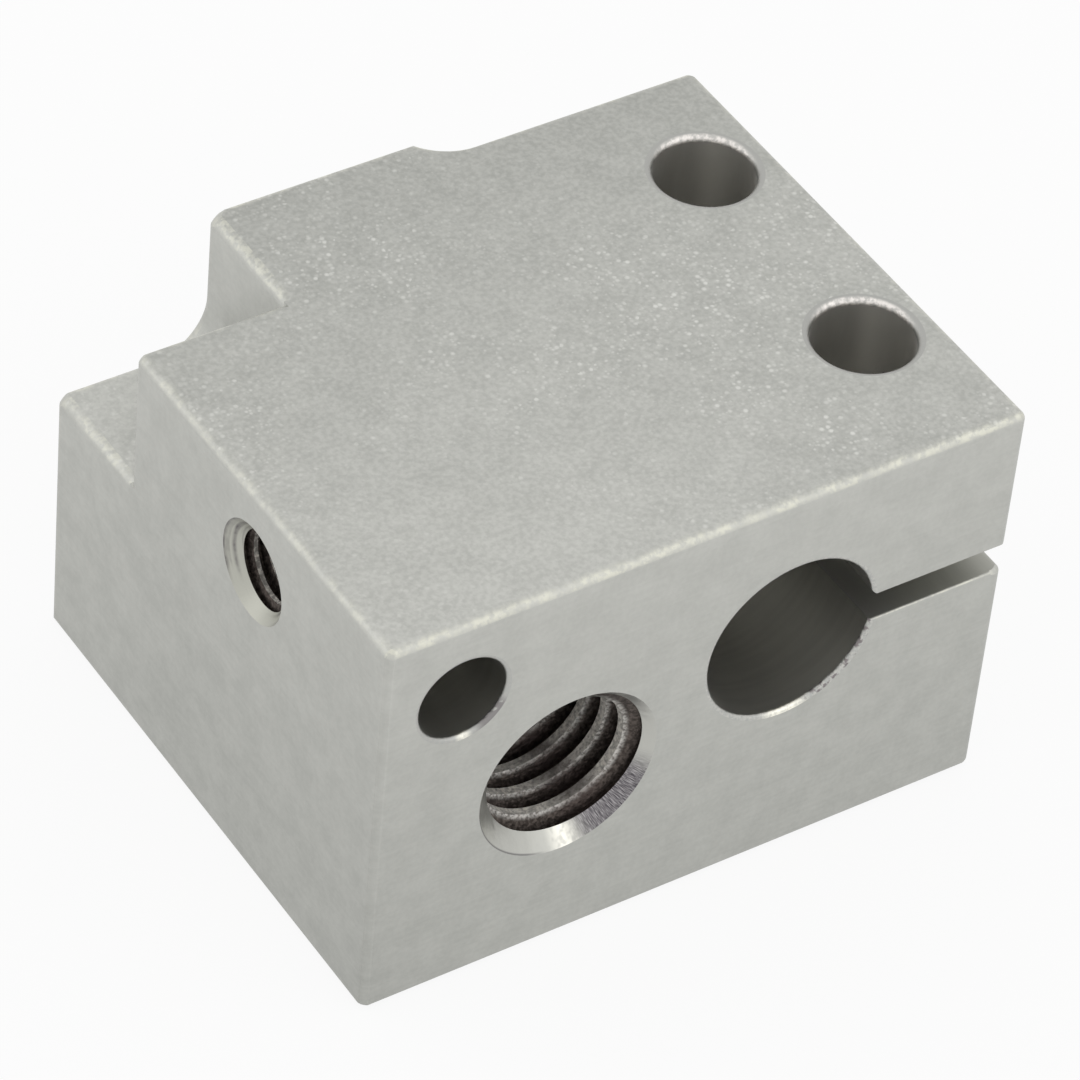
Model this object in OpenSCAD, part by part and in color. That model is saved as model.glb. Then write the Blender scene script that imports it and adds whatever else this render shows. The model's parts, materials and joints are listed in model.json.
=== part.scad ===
// Machined aluminium heater block, lying on its base with the threaded face to the front.
// The nozzle thread, the heater bore and the sensor bore all run front to back, along Y.
// The origin is at the middle of the base: +X to the right, +Y to the back, +Z up.

/* [Block] */
// Width of the front face
block_w = 23.1; // [22.5:0.1:40]
// Height from the base to the top face
block_h = 15.3; // [14.8:0.1:24]
// Depth from the front face to the back of the boss
block_d = 20; // [18:0.5:40]
// Radius on the outer edges
edge_r = 0.35; // [0.1:0.05:0.45]
// Radius on the two back left corners and along the back of the shelf
corner_r = 0.5; // [0.2:0.05:0.8]
// Radius of the end mill that cut the shelf and the back step
cutter_r = 2; // [1.5:0.1:2.4]

/* [Sensor shelf] */
// Width of the shelf, from the left face to the side of the boss
shelf_w = 5.3; // [4.8:0.1:5.4]
// Length of the shelf, from the back of the boss forwards
shelf_l = 4.9; // [3:0.1:6]
// Height of the shelf above the base
shelf_h = 9.9; // [9.8:0.1:10.5]

/* [Back step] */
// Distance from the left face to where the flat back of the boss ends
boss_end = 12.8; // [11:0.1:14]
// How far the back face stands in beside the boss
step_in = 0.95; // [0.5:0.05:1.5]

/* [Nozzle thread] */
// Thread diameter
nozzle_d = 6; // [5:0.5:6]
// Thread pitch
nozzle_pitch = 1; // [0.75:0.25:1.25]
// Diameter of the countersink at each end
nozzle_sink_d = 6.4; // [6.1:0.1:6.6]
// Distance of the axis from the left face
nozzle_x = 6.95; // [6.8:0.05:7.5]
// Height of the axis above the base
nozzle_z = 7.15; // [4:0.05:7.2]

/* [Heater bore] */
// Diameter of the heater cartridge
heater_d = 6; // [5:0.1:6.4]
// Clearance of the cartridge in the open clamp
heater_clearance = 0.1; // [0.02:0.02:0.3]
// Distance of the axis from the nozzle axis
heater_offset = 8; // [7.3:0.05:8.5]
// Height of the axis above the base
heater_z = 9.3; // [7:0.1:10]
// Width of the clamp slit that runs from the bore to the right face
slit_gap = 1.05; // [0.5:0.05:1.5]
// Radius where the upper lip of the slit meets the bore
lip_r = 0.4; // [0.2:0.05:0.6]
// Radius on both lips where the slit opens in the right face
mouth_r = 0.25; // [0.1:0.05:0.4]

/* [Sensor bore] */
// Diameter of the sensor cartridge
sensor_d = 3; // [2.5:0.1:3.1]
// Clearance of the cartridge in its bore
sensor_clearance = 0.04; // [0.02:0.01:0.1]
// Distance of the axis from the left face
sensor_x = 2.8; // [2.5:0.05:2.9]
// Depth of the axis below the top face
sensor_drop = 3.05; // [2.5:0.05:3.2]

/* [Clamp screws] */
// Thread diameter of a clamp screw
clamp_d = 3; // [2:0.5:3]
// Thread pitch of a clamp screw
clamp_pitch = 0.5; // [0.4:0.05:0.5]
// Clearance of the screw in the upper lip
clamp_clearance = 0.4; // [0.1:0.05:0.5]
// Distance between the two screws
clamp_spacing = 9.05; // [6:0.05:12]
// Distance of the front screw from the front face
clamp_y = 5.45; // [3:0.05:6]
// Distance of the screws from the right face
clamp_inset = 2.5; // [2.35:0.05:2.8]

/* [Set screw] */
// Thread diameter of the sensor's set screw
set_d = 3; // [2:0.5:3]
// Thread pitch of the set screw
set_pitch = 0.5; // [0.4:0.05:0.5]
// Diameter of the countersink
set_sink_d = 3.5; // [3.2:0.1:4]
// Distance of the axis from the front face
set_y = 7.7; // [3:0.1:11]

/* [Rims] */
// Chamfer on the rims of the heater and sensor bores
bore_rim = 0.12; // [0.04:0.02:0.2]
// Chamfer on the rims of the clamp screw holes
screw_rim = 0.25; // [0.1:0.05:0.3]

/* [Hidden] */
$fn = 96;
// How far a cutting shape runs past the face that it cuts
over = 2;

back_right = block_d - step_in;
notch_y = block_d - shelf_l;
step_r = cutter_r + edge_r;
step_x = boss_end + sqrt(pow(step_r, 2) - pow(step_r - step_in, 2));

heater_r = (heater_d + heater_clearance) / 2;
heater_x = nozzle_x + heater_offset;
slit_top = heater_z + slit_gap / 2;
slit_low = heater_z - slit_gap / 2;
lip_z = slit_top + lip_r;
lip_x = heater_x + sqrt(pow(heater_r + lip_r, 2) - pow(lip_z - heater_z, 2));

sensor_r = (sensor_d + sensor_clearance) / 2;
sensor_z = block_h - sensor_drop;

clamp_x = block_w - clamp_inset;
clamp_hole_r = (clamp_d + clamp_clearance) / 2;

// Radius of the drill for a tapped hole
function tap_r(d, pitch) = (d - pitch) / 2;

// What a rounded corner of radius r takes off a square corner.
// The square corner is at the origin and its material lies towards +x and +y.
// quadrant turns it by a quarter turn for each step.
module corner_waste(at, quadrant, r) {
    translate(at)
        rotate(90 * quadrant)
            difference() {
                translate([-over, -over])
                    square(r + over);
                translate([r, r])
                    circle(r);
            }
}

module rounded_rectangle(w, h, r) {
    difference() {
        square([w, h]);
        corner_waste([0, 0], 0, r);
        corner_waste([w, 0], 1, r);
        corner_waste([w, h], 2, r);
        corner_waste([0, h], 3, r);
    }
}

// Seen from above: what the end mill took off behind the right part of the block.
// Its inside corner has the radius of the mill, and the corner of the boss is broken.
module step_waste() {
    difference() {
        union() {
            translate([step_x, back_right + cutter_r])
                circle(cutter_r);
            translate([step_x, back_right])
                square([block_w - step_x + over, step_in + over]);
            polygon([
                [boss_end, block_d - edge_r],
                [boss_end, block_d + over],
                [step_x, block_d + over],
                [step_x, back_right + cutter_r]
            ]);
        }
        translate([boss_end, block_d - edge_r])
            circle(edge_r);
    }
}

module plan_outline() {
    difference() {
        square([block_w, block_d]);
        corner_waste([0, 0], 0, edge_r);
        corner_waste([block_w, 0], 1, edge_r);
        corner_waste([block_w, back_right], 2, edge_r);
        corner_waste([0, block_d], 3, corner_r);
        step_waste();
    }
}

// Turns a shape drawn in the front view, x by z, into a prism that runs back from y
module along_y(y, length) {
    translate([0, y + length, 0])
        rotate([90, 0, 0])
            linear_extrude(length)
                children();
}

// Turns a shape drawn in the left view, y by z, into a prism that runs right from x
module along_x(x, length) {
    translate([x, 0, 0])
        rotate([90, 0, 90])
            linear_extrude(length)
                children();
}

// The bar with every straight edge rounded
module rounded_bar() {
    intersection() {
        linear_extrude(block_h)
            plan_outline();
        along_y(0, block_d)
            rounded_rectangle(block_w, block_h, edge_r);
        along_x(0, block_w)
            rounded_rectangle(block_d, block_h, edge_r);
    }
}

// Rounds the top and bottom edges of the stepped back face and of its inside corner
module step_edge_waste() {
    along_x(step_x, block_w - step_x + over) {
        corner_waste([back_right, 0], 1, edge_r);
        corner_waste([back_right, block_h], 2, edge_r);
    }
    translate([step_x, back_right + cutter_r, 0])
        rotate_extrude() {
            corner_waste([cutter_r, 0], 0, edge_r);
            corner_waste([cutter_r, block_h], 3, edge_r);
        }
}

// Front view of the cut over the shelf: the mill leaves its radius between the shelf
// and the boss, and the two outer edges along Y are broken
module shelf_section() {
    difference() {
        translate([-over, shelf_h])
            square([shelf_w + over, block_h - shelf_h + over]);
        corner_waste([shelf_w, shelf_h], 1, cutter_r);
    }
    corner_waste([0, shelf_h], 3, edge_r);
    corner_waste([shelf_w, block_h], 3, edge_r);
}

// The cut itself, with the edges that it leaves around it rounded
module shelf_waste() {
    along_y(notch_y, shelf_l + over)
        shelf_section();
    // Corner of the left face and the top edge, in front of the cut
    translate([0, 0, shelf_h])
        linear_extrude(block_h - shelf_h + over)
            corner_waste([0, notch_y], 3, edge_r);
    along_x(-over, shelf_w + over)
        corner_waste([notch_y, block_h], 2, edge_r);
    // Back edge of the shelf, round its inside corner and up the boss
    along_x(-over, shelf_w - cutter_r + over)
        corner_waste([block_d, shelf_h], 2, corner_r);
    translate([shelf_w - cutter_r, block_d, shelf_h + cutter_r])
        rotate([90, 0, 0])
            rotate_extrude()
                corner_waste([cutter_r, 0], 0, corner_r);
    translate([0, 0, shelf_h + cutter_r])
        linear_extrude(block_h - shelf_h - cutter_r + over)
            corner_waste([shelf_w, block_d], 3, corner_r);
}

// A drill that enters the face at z = 0 and cuts upwards, with a chamfer of width rim
module rimmed_drill(r, length, rim) {
    translate([0, 0, -over])
        cylinder(h = length + over, r = r);
    translate([0, 0, -over])
        cylinder(h = over, r = r + rim);
    cylinder(h = rim, r1 = r + rim, r2 = r);
}

// Turns a drill that cuts upwards so that it cuts to the back, from the front face
module drill_back(x, z) {
    translate([x, 0, z])
        rotate([-90, 0, 0])
            children();
}

// Turns a drill that cuts upwards so that it cuts forwards, from a face at y
module drill_forward(x, y, z) {
    translate([x, y, z])
        rotate([90, 0, 0])
            children();
}

// Tapped hole for the nozzle and the heat break, open at both ends
module nozzle_waste() {
    r = tap_r(nozzle_d, nozzle_pitch);
    sink = nozzle_sink_d / 2 - r;
    drill_back(nozzle_x, nozzle_z)
        rimmed_drill(r, block_d / 2, sink);
    drill_forward(nozzle_x, block_d, nozzle_z)
        rimmed_drill(r, block_d / 2 + over, sink);
}

// Front view of the clamp: the slit, the rounded start of its upper lip and its mouth
module clamp_section() {
    difference() {
        union() {
            translate([heater_x, slit_low])
                square([block_w - heater_x + over, slit_gap]);
            polygon([
                [heater_x, heater_z],
                [lip_x, lip_z],
                [lip_x, slit_low]
            ]);
        }
        translate([lip_x, lip_z])
            circle(lip_r);
    }
    corner_waste([block_w, slit_top], 1, mouth_r);
    corner_waste([block_w, slit_low], 2, mouth_r);
}

module heater_waste() {
    drill_back(heater_x, heater_z)
        rimmed_drill(heater_r, block_d + over, bore_rim);
    along_y(-over, block_d + 2 * over)
        clamp_section();
}

// The sensor bore runs through to the cut over the shelf
module sensor_waste() {
    drill_back(sensor_x, sensor_z)
        rimmed_drill(sensor_r, notch_y + over, bore_rim);
    drill_forward(sensor_x, notch_y, sensor_z)
        rimmed_drill(sensor_r, notch_y / 2, bore_rim);
}

// Plain hole through the upper lip and tapped hole through the lower one
module clamp_screw_waste(y) {
    translate([clamp_x, y, 0])
        rimmed_drill(tap_r(clamp_d, clamp_pitch), slit_top, screw_rim);
    translate([clamp_x, y, block_h])
        mirror([0, 0, 1])
            rimmed_drill(clamp_hole_r, block_h - heater_z, screw_rim);
}

// Tapped hole from the left face to the middle of the sensor bore
module set_screw_waste() {
    r = tap_r(set_d, set_pitch);
    translate([0, set_y, sensor_z])
        rotate([0, 90, 0])
            rimmed_drill(r, sensor_x, set_sink_d / 2 - r);
}

module heater_block() {
    color("silver")
        translate([-block_w / 2, -block_d / 2, 0])
            difference() {
                rounded_bar();
                step_edge_waste();
                shelf_waste();
                nozzle_waste();
                heater_waste();
                sensor_waste();
                clamp_screw_waste(clamp_y);
                clamp_screw_waste(clamp_y + clamp_spacing);
                set_screw_waste();
            }
}

heater_block();
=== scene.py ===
"""Looks of a machined and bead-blasted aluminium heater block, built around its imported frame.

The block is cut from a blank with the same tools as the real one: an end mill for the shelf and the
back step, drills and taps for the holes, a slitting saw for the clamp. Each tool leaves its own
finish on the faces that it cuts. Shapes are made in millimetres, with the corner of the front,
left and base faces at the origin, and the finished mesh is placed in the frame in metres. The
finishes read the piece's own coordinates, in millimetres from the middle of the base.
"""

from __future__ import annotations

import json
import logging
import math
from dataclasses import dataclass
from enum import Enum

import bmesh
import bpy
from mathutils import Matrix, Vector


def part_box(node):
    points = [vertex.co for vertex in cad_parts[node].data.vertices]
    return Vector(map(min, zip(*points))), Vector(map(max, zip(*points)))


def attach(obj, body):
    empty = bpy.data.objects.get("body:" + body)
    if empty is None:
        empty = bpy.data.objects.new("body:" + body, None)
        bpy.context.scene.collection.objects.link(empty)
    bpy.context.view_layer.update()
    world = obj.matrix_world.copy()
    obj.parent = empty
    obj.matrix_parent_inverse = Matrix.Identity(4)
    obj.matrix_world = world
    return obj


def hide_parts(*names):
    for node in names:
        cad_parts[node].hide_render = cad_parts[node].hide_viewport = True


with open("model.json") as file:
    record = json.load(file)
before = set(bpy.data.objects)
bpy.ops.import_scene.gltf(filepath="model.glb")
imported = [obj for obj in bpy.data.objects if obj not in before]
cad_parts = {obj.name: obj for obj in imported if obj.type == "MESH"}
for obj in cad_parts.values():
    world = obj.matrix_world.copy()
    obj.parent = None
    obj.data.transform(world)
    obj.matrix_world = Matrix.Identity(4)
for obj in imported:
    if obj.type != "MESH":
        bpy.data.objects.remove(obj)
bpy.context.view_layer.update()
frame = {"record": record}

MM = 0.001
NODE = "heater_block"
# How far a tool runs past the face that it cuts, in millimetres
OVER = 1.0
# How many straight pieces stand for a rounded edge, and for the rounded rim of a hole
EDGE_STEPS = 10
RIM_BENDS = 5
# How many flats stand for the circle of a hole, where nothing else is said
FLATS = 96
# How many flats stand for a quarter of the hollow ball that rounds a corner
BALL_STEPS = 8

log = logging.getLogger("heater_block")

Point = tuple[float, float]
Place = tuple[float, float, float]
Colour = tuple[float, float, float]
Socket = bpy.types.NodeSocket
Value = Socket | float | Place

UPWARDS: Place = (0.0, 0.0, 1.0)
LEFTWARDS: Place = (-1.0, 0.0, 0.0)
WHITE: Colour = (1.0, 1.0, 1.0)


class Plane(Enum):
    """The view in which an outline is drawn, which sets the axis that it is extruded along."""

    TOP = "z"
    FRONT = "y"
    SIDE = "x"

    def place(self, u: float, v: float, along: float) -> Vector:
        """Takes a point of the view into the block.

        Args:
            u: Its place across the view.
            v: Its place up the view.
            along: Its place on the view's axis.

        Returns:
            The point.
        """
        if self is Plane.TOP:
            return Vector((u, v, along))
        if self is Plane.FRONT:
            return Vector((u, along, v))
        return Vector((along, u, v))


class Heading(Enum):
    """The way a drill or a tap goes into the block."""

    BACK = "back"
    RIGHT = "right"
    UP = "up"
    DOWN = "down"

    @property
    def axis(self) -> int:
        """Number of the axis that it goes along."""
        return {Heading.RIGHT: 0, Heading.BACK: 1}.get(self, 2)

    def matrix(self, start: Vector) -> Matrix:
        """Turns a tool that cuts along +Z so that it enters at start and goes this way.

        Args:
            start: Where the tool's axis meets the face that it enters, in millimetres.

        Returns:
            The placing matrix.
        """
        turns = {
            Heading.BACK: Matrix.Rotation(math.radians(-90), 4, "X"),
            Heading.RIGHT: Matrix.Rotation(math.radians(90), 4, "Y"),
            Heading.UP: Matrix.Identity(4),
            Heading.DOWN: Matrix.Rotation(math.radians(180), 4, "X"),
        }
        return Matrix.Translation(start) @ turns[self]


class Finish(Enum):
    """The finishes that the tools and the blasting leave, by material name."""

    BLASTED = "blasted_aluminium"
    # The edge finishes paint a highlight on the upper part of each rounding and shade on the lower part
    EDGE = "burnished_edge"
    SOFT_EDGE = "soft_edge"
    SPECKLED_EDGE_HIGHLIGHT = "scuffed_edge"
    HEATER_BORE = "heater_bore"
    SENSOR_BORE = "sensor_bore"
    SCREW_HOLE = "screw_hole"
    HEATER_RIM = "heater_rim"
    SENSOR_RIM = "sensor_rim"
    SCREW_RIM = "screw_rim"
    NOZZLE_SINK = "nozzle_countersink"
    SET_SINK = "set_screw_countersink"
    CREST = "thread_crest"
    THREAD = "thread_groove"
    SLIT = "sawn_slit"


@dataclass(frozen=True)
class Hole:
    """A round hole: where its axis enters the block, in millimetres, and its radius."""

    x: float
    y: float
    z: float
    radius: float

    @classmethod
    def from_mount(cls, mount: dict, low: Vector, key: str = "r_mm", shift: float = 0.0) -> Hole:
        """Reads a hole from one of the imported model's mounts.

        Args:
            mount: The mount.
            low: The block's lowest corner in the frame, in millimetres.
            key: Which of the mount's dimensions is the hole's radius.
            shift: How far along Y the hole lies from the mount's own place.

        Returns:
            The hole, measured from the block's corner.
        """
        x, y, z = (Vector(mount["pos_m"]) / MM) - low
        return cls(x, y + shift, z, mount["dims"][key])

    def enter(self, heading: Heading, face: float = 0.0) -> Matrix:
        """Places a tool on the hole's axis.

        Args:
            heading: The way that the tool goes.
            face: Where the face that it enters lies, along that way's axis.

        Returns:
            The placing matrix.
        """
        start = Vector((self.x, self.y, self.z))
        start[heading.axis] = face
        return heading.matrix(start)


@dataclass
class BlockSizes:
    """The block's sizes, in millimetres from the corner of the front, left and base faces."""

    width: float
    depth: float
    height: float
    nozzle: Hole
    heater: Hole
    sensor: Hole
    set_screw: Hole
    clamp_holes: tuple[Hole, Hole]
    clamp_tap_r: float
    # Rounding of the outer edges and of those at the back left, and the end mill's radius
    edge_r: float = 0.35
    corner_r: float = 0.5
    cutter_r: float = 2.0
    # The shelf: its width, its length and its height above the base
    shelf_w: float = 5.3
    shelf_l: float = 4.9
    shelf_h: float = 9.9
    # Where the boss ends along X, and how far the back face stands in beside it
    boss_end: float = 12.8
    step_in: float = 0.95
    # Radius of the countersinks where they meet the faces
    nozzle_sink_r: float = 3.2
    set_sink_r: float = 1.75
    # Width of the bores' broken rims, and of the clamp screws'
    bore_rim: float = 0.16
    screw_rim: float = 0.25
    # The slit's height, and the rounding of its lips at the bore, at the right face and in front
    slit_gap: float = 1.05
    lip_r: float = 0.4
    mouth_r: float = 0.25
    lip_break: float = 0.08

    @classmethod
    def from_frame(cls) -> BlockSizes:
        """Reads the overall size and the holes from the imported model.

        Returns:
            The sizes, with the holes where the model's mounts state them.
        """
        low, high = (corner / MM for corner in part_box(NODE))
        mounts = {mount["name"]: mount for mount in frame["record"]["mounts"]}
        clamp = mounts["clamp_screws"]
        half = clamp["dims"]["spacing_y_mm"] / 2
        return cls(
            *(high - low),
            nozzle=Hole.from_mount(mounts["nozzle_thread"], low),
            heater=Hole.from_mount(mounts["heater_bore"], low),
            sensor=Hole.from_mount(mounts["sensor_bore"], low),
            set_screw=Hole.from_mount(mounts["set_screw_thread"], low),
            clamp_holes=tuple(Hole.from_mount(clamp, low, "hole_r_mm", y) for y in (-half, half)),
            clamp_tap_r=mounts["clamp_thread_front"]["dims"]["r_mm"],
        )

    @property
    def back_right(self) -> float:
        """Depth of the block behind the clamp, where the back face stands in."""
        return self.depth - self.step_in

    @property
    def notch_y(self) -> float:
        """Where the cut over the shelf starts."""
        return self.depth - self.shelf_l

    @property
    def step_x(self) -> float:
        """Where the mill's radius ends and the stepped back face becomes straight."""
        reach = self.cutter_r + self.edge_r
        return self.boss_end + math.sqrt(reach**2 - (reach - self.step_in) ** 2)

    @property
    def slit_top(self) -> float:
        """Height of the slit's upper face."""
        return self.heater.z + self.slit_gap / 2

    @property
    def slit_low(self) -> float:
        """Height of the slit's lower face."""
        return self.heater.z - self.slit_gap / 2


@dataclass(frozen=True)
class ThreadSize:
    """A metric thread cut into a drilled hole, in millimetres."""

    major_r: float
    pitch: float
    # How many straight pieces stand for one turn of its helix
    steps: int
    # How far each flank leans out from square to the axis, in degrees
    flank: float = 30.0

    @property
    def root_flat(self) -> float:
        """Width of the flat at the bottom of the groove, an eighth of the pitch."""
        return self.pitch / 8

    def mouth(self, depth: float) -> float:
        """Returns the width of the groove at this height above its bottom."""
        return self.root_flat + 2 * math.tan(math.radians(self.flank)) * depth


def add_object(name: str, data: bpy.types.ID) -> bpy.types.Object:
    """Makes an object and links it to the scene.

    Args:
        name: Its name.
        data: Its mesh, lamp or camera.

    Returns:
        The object, at the origin.
    """
    obj = bpy.data.objects.new(name, data)
    bpy.context.scene.collection.objects.link(obj)
    return obj


def applied(obj: bpy.types.Object) -> bpy.types.Mesh:
    """Makes the plain mesh of an object as its modifiers leave it.

    Args:
        obj: The object, which keeps its modifiers.

    Returns:
        The new mesh.
    """
    bpy.context.view_layer.update()
    graph = bpy.context.evaluated_depsgraph_get()
    return bpy.data.meshes.new_from_object(obj.evaluated_get(graph))


def arc(centre: Point, radius: float, start: float, end: float, steps: int) -> list[Point]:
    """Makes the points of an arc, both ends included.

    Args:
        centre: The arc's centre.
        radius: Its radius.
        start: Angle of its first point, in degrees.
        end: Angle of its last point, in degrees.
        steps: How many straight pieces stand for it.

    Returns:
        The points in order.
    """
    angles = (math.radians(start + (end - start) * i / steps) for i in range(steps + 1))
    return [(centre[0] + radius * math.cos(a), centre[1] + radius * math.sin(a)) for a in angles]


def rim_points(radius: float, width: float, bends: int) -> list[Point]:
    """Makes the profile of a hole's broken edge, from the face down to the wall.

    Args:
        radius: Radius of the hole.
        width: Width and depth of the broken edge.
        bends: How many straight pieces stand for it; 1 gives a chamfer, more a rounding.

    Returns:
        Radius and depth of each point.
    """
    return arc((radius + width, width), width, 270, 180, bends)


def corner_waste(
    u: float,
    v: float,
    quadrant: int,
    radius: float,
    steps: int = EDGE_STEPS,
) -> list[Point]:
    """Outline of what a rounding takes off a square corner.

    Args:
        u: Place of the corner across the view.
        v: Place of the corner up the view.
        quadrant: Quarter turns from a corner whose material lies towards +u and +v.
        radius: Radius of the rounding.
        steps: How many straight pieces stand for the rounding.

    Returns:
        The outline's points.
    """
    local = [(-OVER, -OVER), (radius, -OVER)]
    local += arc((radius, radius), radius, 270, 180, steps)
    local += [(-OVER, radius)]
    turn = Matrix.Rotation(math.radians(90 * quadrant), 2)
    return [tuple(turn @ Vector(p) + Vector((u, v))) for p in local]


class Toolbox:
    """Makes the meshes of the tools that cut the block."""

    def __init__(self, materials: dict[Finish, bpy.types.Material]) -> None:
        """Keeps the materials that the tools leave behind."""
        self.materials = materials
        self.order = list(materials)
        self.tools: list[bpy.types.Object] = []

    def _finish(self, mesh: bpy.types.Mesh, finishes: list[Finish]) -> None:
        """Gives a closed mesh its materials and turns its faces outwards.

        Args:
            mesh: The mesh.
            finishes: The finish of each face.
        """
        mesh.materials.clear()
        for finish in self.order:
            mesh.materials.append(self.materials[finish])
        mesh.polygons.foreach_set("material_index", [self.order.index(f) for f in finishes])
        shape = bmesh.new()
        shape.from_mesh(mesh)
        bmesh.ops.recalc_face_normals(shape, faces=shape.faces)
        shape.to_mesh(mesh)
        shape.free()

    def _object(
        self,
        name: str,
        points: list[Vector],
        faces: list[list[int]],
        finishes: list[Finish],
    ) -> bpy.types.Object:
        """Makes a closed object whose faces point outwards.

        Args:
            name: The object's name.
            points: Its vertices.
            faces: The vertices of each face.
            finishes: The finish of each face.

        Returns:
            The object, linked to the scene.
        """
        mesh = bpy.data.meshes.new(name)
        mesh.from_pydata(points, [], faces)
        self._finish(mesh, finishes)
        return add_object(name, mesh)

    def extruded(
        self,
        name: str,
        outline: list[Point],
        plane: Plane,
        start: float,
        length: float,
        finish: Finish,
    ) -> bpy.types.Object:
        """Makes a prism from an outline.

        Args:
            name: The object's name.
            outline: The outline's points, in order.
            plane: The view that the outline is drawn in.
            start: Where the prism starts on the view's axis.
            length: How long it is.
            finish: What it leaves on the block.

        Returns:
            The prism.
        """
        count = len(outline)
        points = [plane.place(u, v, start) for u, v in outline]
        points += [plane.place(u, v, start + length) for u, v in outline]
        faces = [list(range(count)), list(range(count, 2 * count))]
        faces += [[i, (i + 1) % count, (i + 1) % count + count, i + count] for i in range(count)]
        return self._object(name, points, faces, [finish] * len(faces))

    def revolved(
        self,
        name: str,
        profile: list[Point],
        finishes: list[Finish],
        place: Matrix,
        steps: int = FLATS,
    ) -> bpy.types.Object:
        """Makes a turned body from a profile whose two ends lie on the axis.

        Args:
            name: The object's name.
            profile: Radius and height of each point, from one end of the axis to the other.
            finishes: The finish of each stretch of the profile.
            place: Where the body goes; it is turned about Z.
            steps: How many flats stand for the circle.

        Returns:
            The body.
        """
        angles = [math.tau * (i + 0.5) / steps for i in range(steps)]
        points = [Vector((0, 0, profile[0][1])), Vector((0, 0, profile[-1][1]))]
        rings = profile[1:-1]
        for radius, height in rings:
            points += [Vector((radius * math.cos(a), radius * math.sin(a), height)) for a in angles]
        faces: list[list[int]] = []
        marks: list[Finish] = []
        for i in range(steps):
            j = (i + 1) % steps
            first, last = 2, 2 + (len(rings) - 1) * steps
            faces.append([0, first + i, first + j])
            marks.append(finishes[0])
            for ring in range(len(rings) - 1):
                low, high = 2 + ring * steps, 2 + (ring + 1) * steps
                faces.append([low + i, high + i, high + j, low + j])
                marks.append(finishes[ring + 1])
            faces.append([1, last + j, last + i])
            marks.append(finishes[-1])
        return self._object(name, [place @ p for p in points], faces, marks)

    def mill(
        self,
        name: str,
        outline: list[Point],
        plane: Plane,
        start: float,
        length: float,
        finish: Finish = Finish.BLASTED,
    ) -> None:
        """Adds a prism to the tools; its arguments are those of extruded."""
        self.tools.append(self.extruded(name, outline, plane, start, length, finish))

    def drill(
        self,
        name: str,
        radius: float,
        length: float,
        place: Matrix,
        finishes: tuple[Finish, Finish],
        rims: Point,
        steps: int = FLATS,
        rounded: bool = False,
    ) -> None:
        """Adds a drill that breaks the edge at either end.

        Args:
            name: The tool's name.
            radius: The drill's radius.
            length: Distance between the two faces that it breaks through.
            place: Where it enters, along +Z.
            finishes: The finish of the broken edges and of the wall.
            rims: Width of the broken edge at the mouth and at the far end, where 0 leaves it out.
            steps: How many flats stand for the circle.
            rounded: Whether the edges are rounded over instead of chamfered.
        """
        rim, wall = finishes
        near, far = rims
        bends = RIM_BENDS if rounded else 1
        profile = [(0, -OVER), (radius + near, -OVER)]
        profile += rim_points(radius, near, bends)
        marks = [rim] * (bends + 2)
        if far:
            profile += [(r, length - z) for r, z in reversed(rim_points(radius, far, bends))]
            profile += [(radius + far, length + OVER)]
            marks += [wall] + [rim] * (bends + 1)
        else:
            profile += [(radius, length + OVER)]
            marks += [wall]
        profile += [(0, length + OVER)]
        marks += [rim if far else wall]
        self.tools.append(self.revolved(name, profile, marks, place, steps))

    def knock(self, name: str, corner: Place, inward: Place, ball: Point, finish: Finish) -> None:
        """Adds a hollow ball that rounds a corner where three rounded edges meet.

        Args:
            name: The tool's name.
            corner: Where the three faces would meet.
            inward: 1 or -1 along each axis, the way into the block.
            ball: Its middle's distance from each face, and its radius.
            finish: What it leaves on the block.
        """
        middle, radius = ball
        turns = [math.tau / 4 * i / BALL_STEPS for i in range(BALL_STEPS + 1)]
        ways = [Vector(UPWARDS)]
        ways += [
            Vector((math.sin(a) * math.cos(b), math.sin(a) * math.sin(b), math.cos(a)))
            for a in turns[1:]
            for b in turns
        ]
        # The outer skin lies just outside the corner, where it reaches no other part of the block
        local = [way * radius for way in ways] + [way * 2 * middle for way in ways]
        points = [Vector(c + i * (middle - q) for c, i, q in zip(corner, inward, p)) for p in local]
        columns = range(len(turns))
        rows = [[0] * len(turns)]
        rows += [[1 + len(turns) * row + column for column in columns] for row in range(BALL_STEPS)]
        skin = [[0, rows[1][i], rows[1][i + 1]] for i in range(BALL_STEPS)]
        skin += [
            [above[i], below[i], below[i + 1], above[i + 1]]
            for above, below in zip(rows[1:], rows[2:])
            for i in range(BALL_STEPS)
        ]
        count = len(ways)
        faces = skin + [[i + count for i in face] for face in skin]
        for rim in (rows[-1], [row[0] for row in rows], [row[-1] for row in rows]):
            faces += [[i, j, j + count, i + count] for i, j in zip(rim, rim[1:])]
        self.tools.append(self._object(name, points, faces, [finish] * len(faces)))

    def tap(
        self,
        name: str,
        thread: ThreadSize,
        minor_r: float,
        length: float,
        place: Matrix,
        phase: float = 0.0,
    ) -> None:
        """Adds the helical groove of a tap.

        Args:
            name: The tool's name.
            thread: The thread that it cuts.
            minor_r: Radius of the drilled hole.
            length: Distance between the faces at the hole's two ends.
            place: Where it enters, along +Z.
            phase: Turns the helix about its axis, in degrees.
        """
        groove = ThreadGroove(thread, minor_r, length + 2 * OVER)
        obj = groove.build(name, self.materials[Finish.THREAD])
        start = place @ Matrix.Translation((0, 0, -OVER))
        obj.data.transform(start @ Matrix.Rotation(math.radians(phase), 4, "Z"))
        self._finish(obj.data, [Finish.THREAD] * len(obj.data.polygons))
        self.tools.append(obj)

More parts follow.
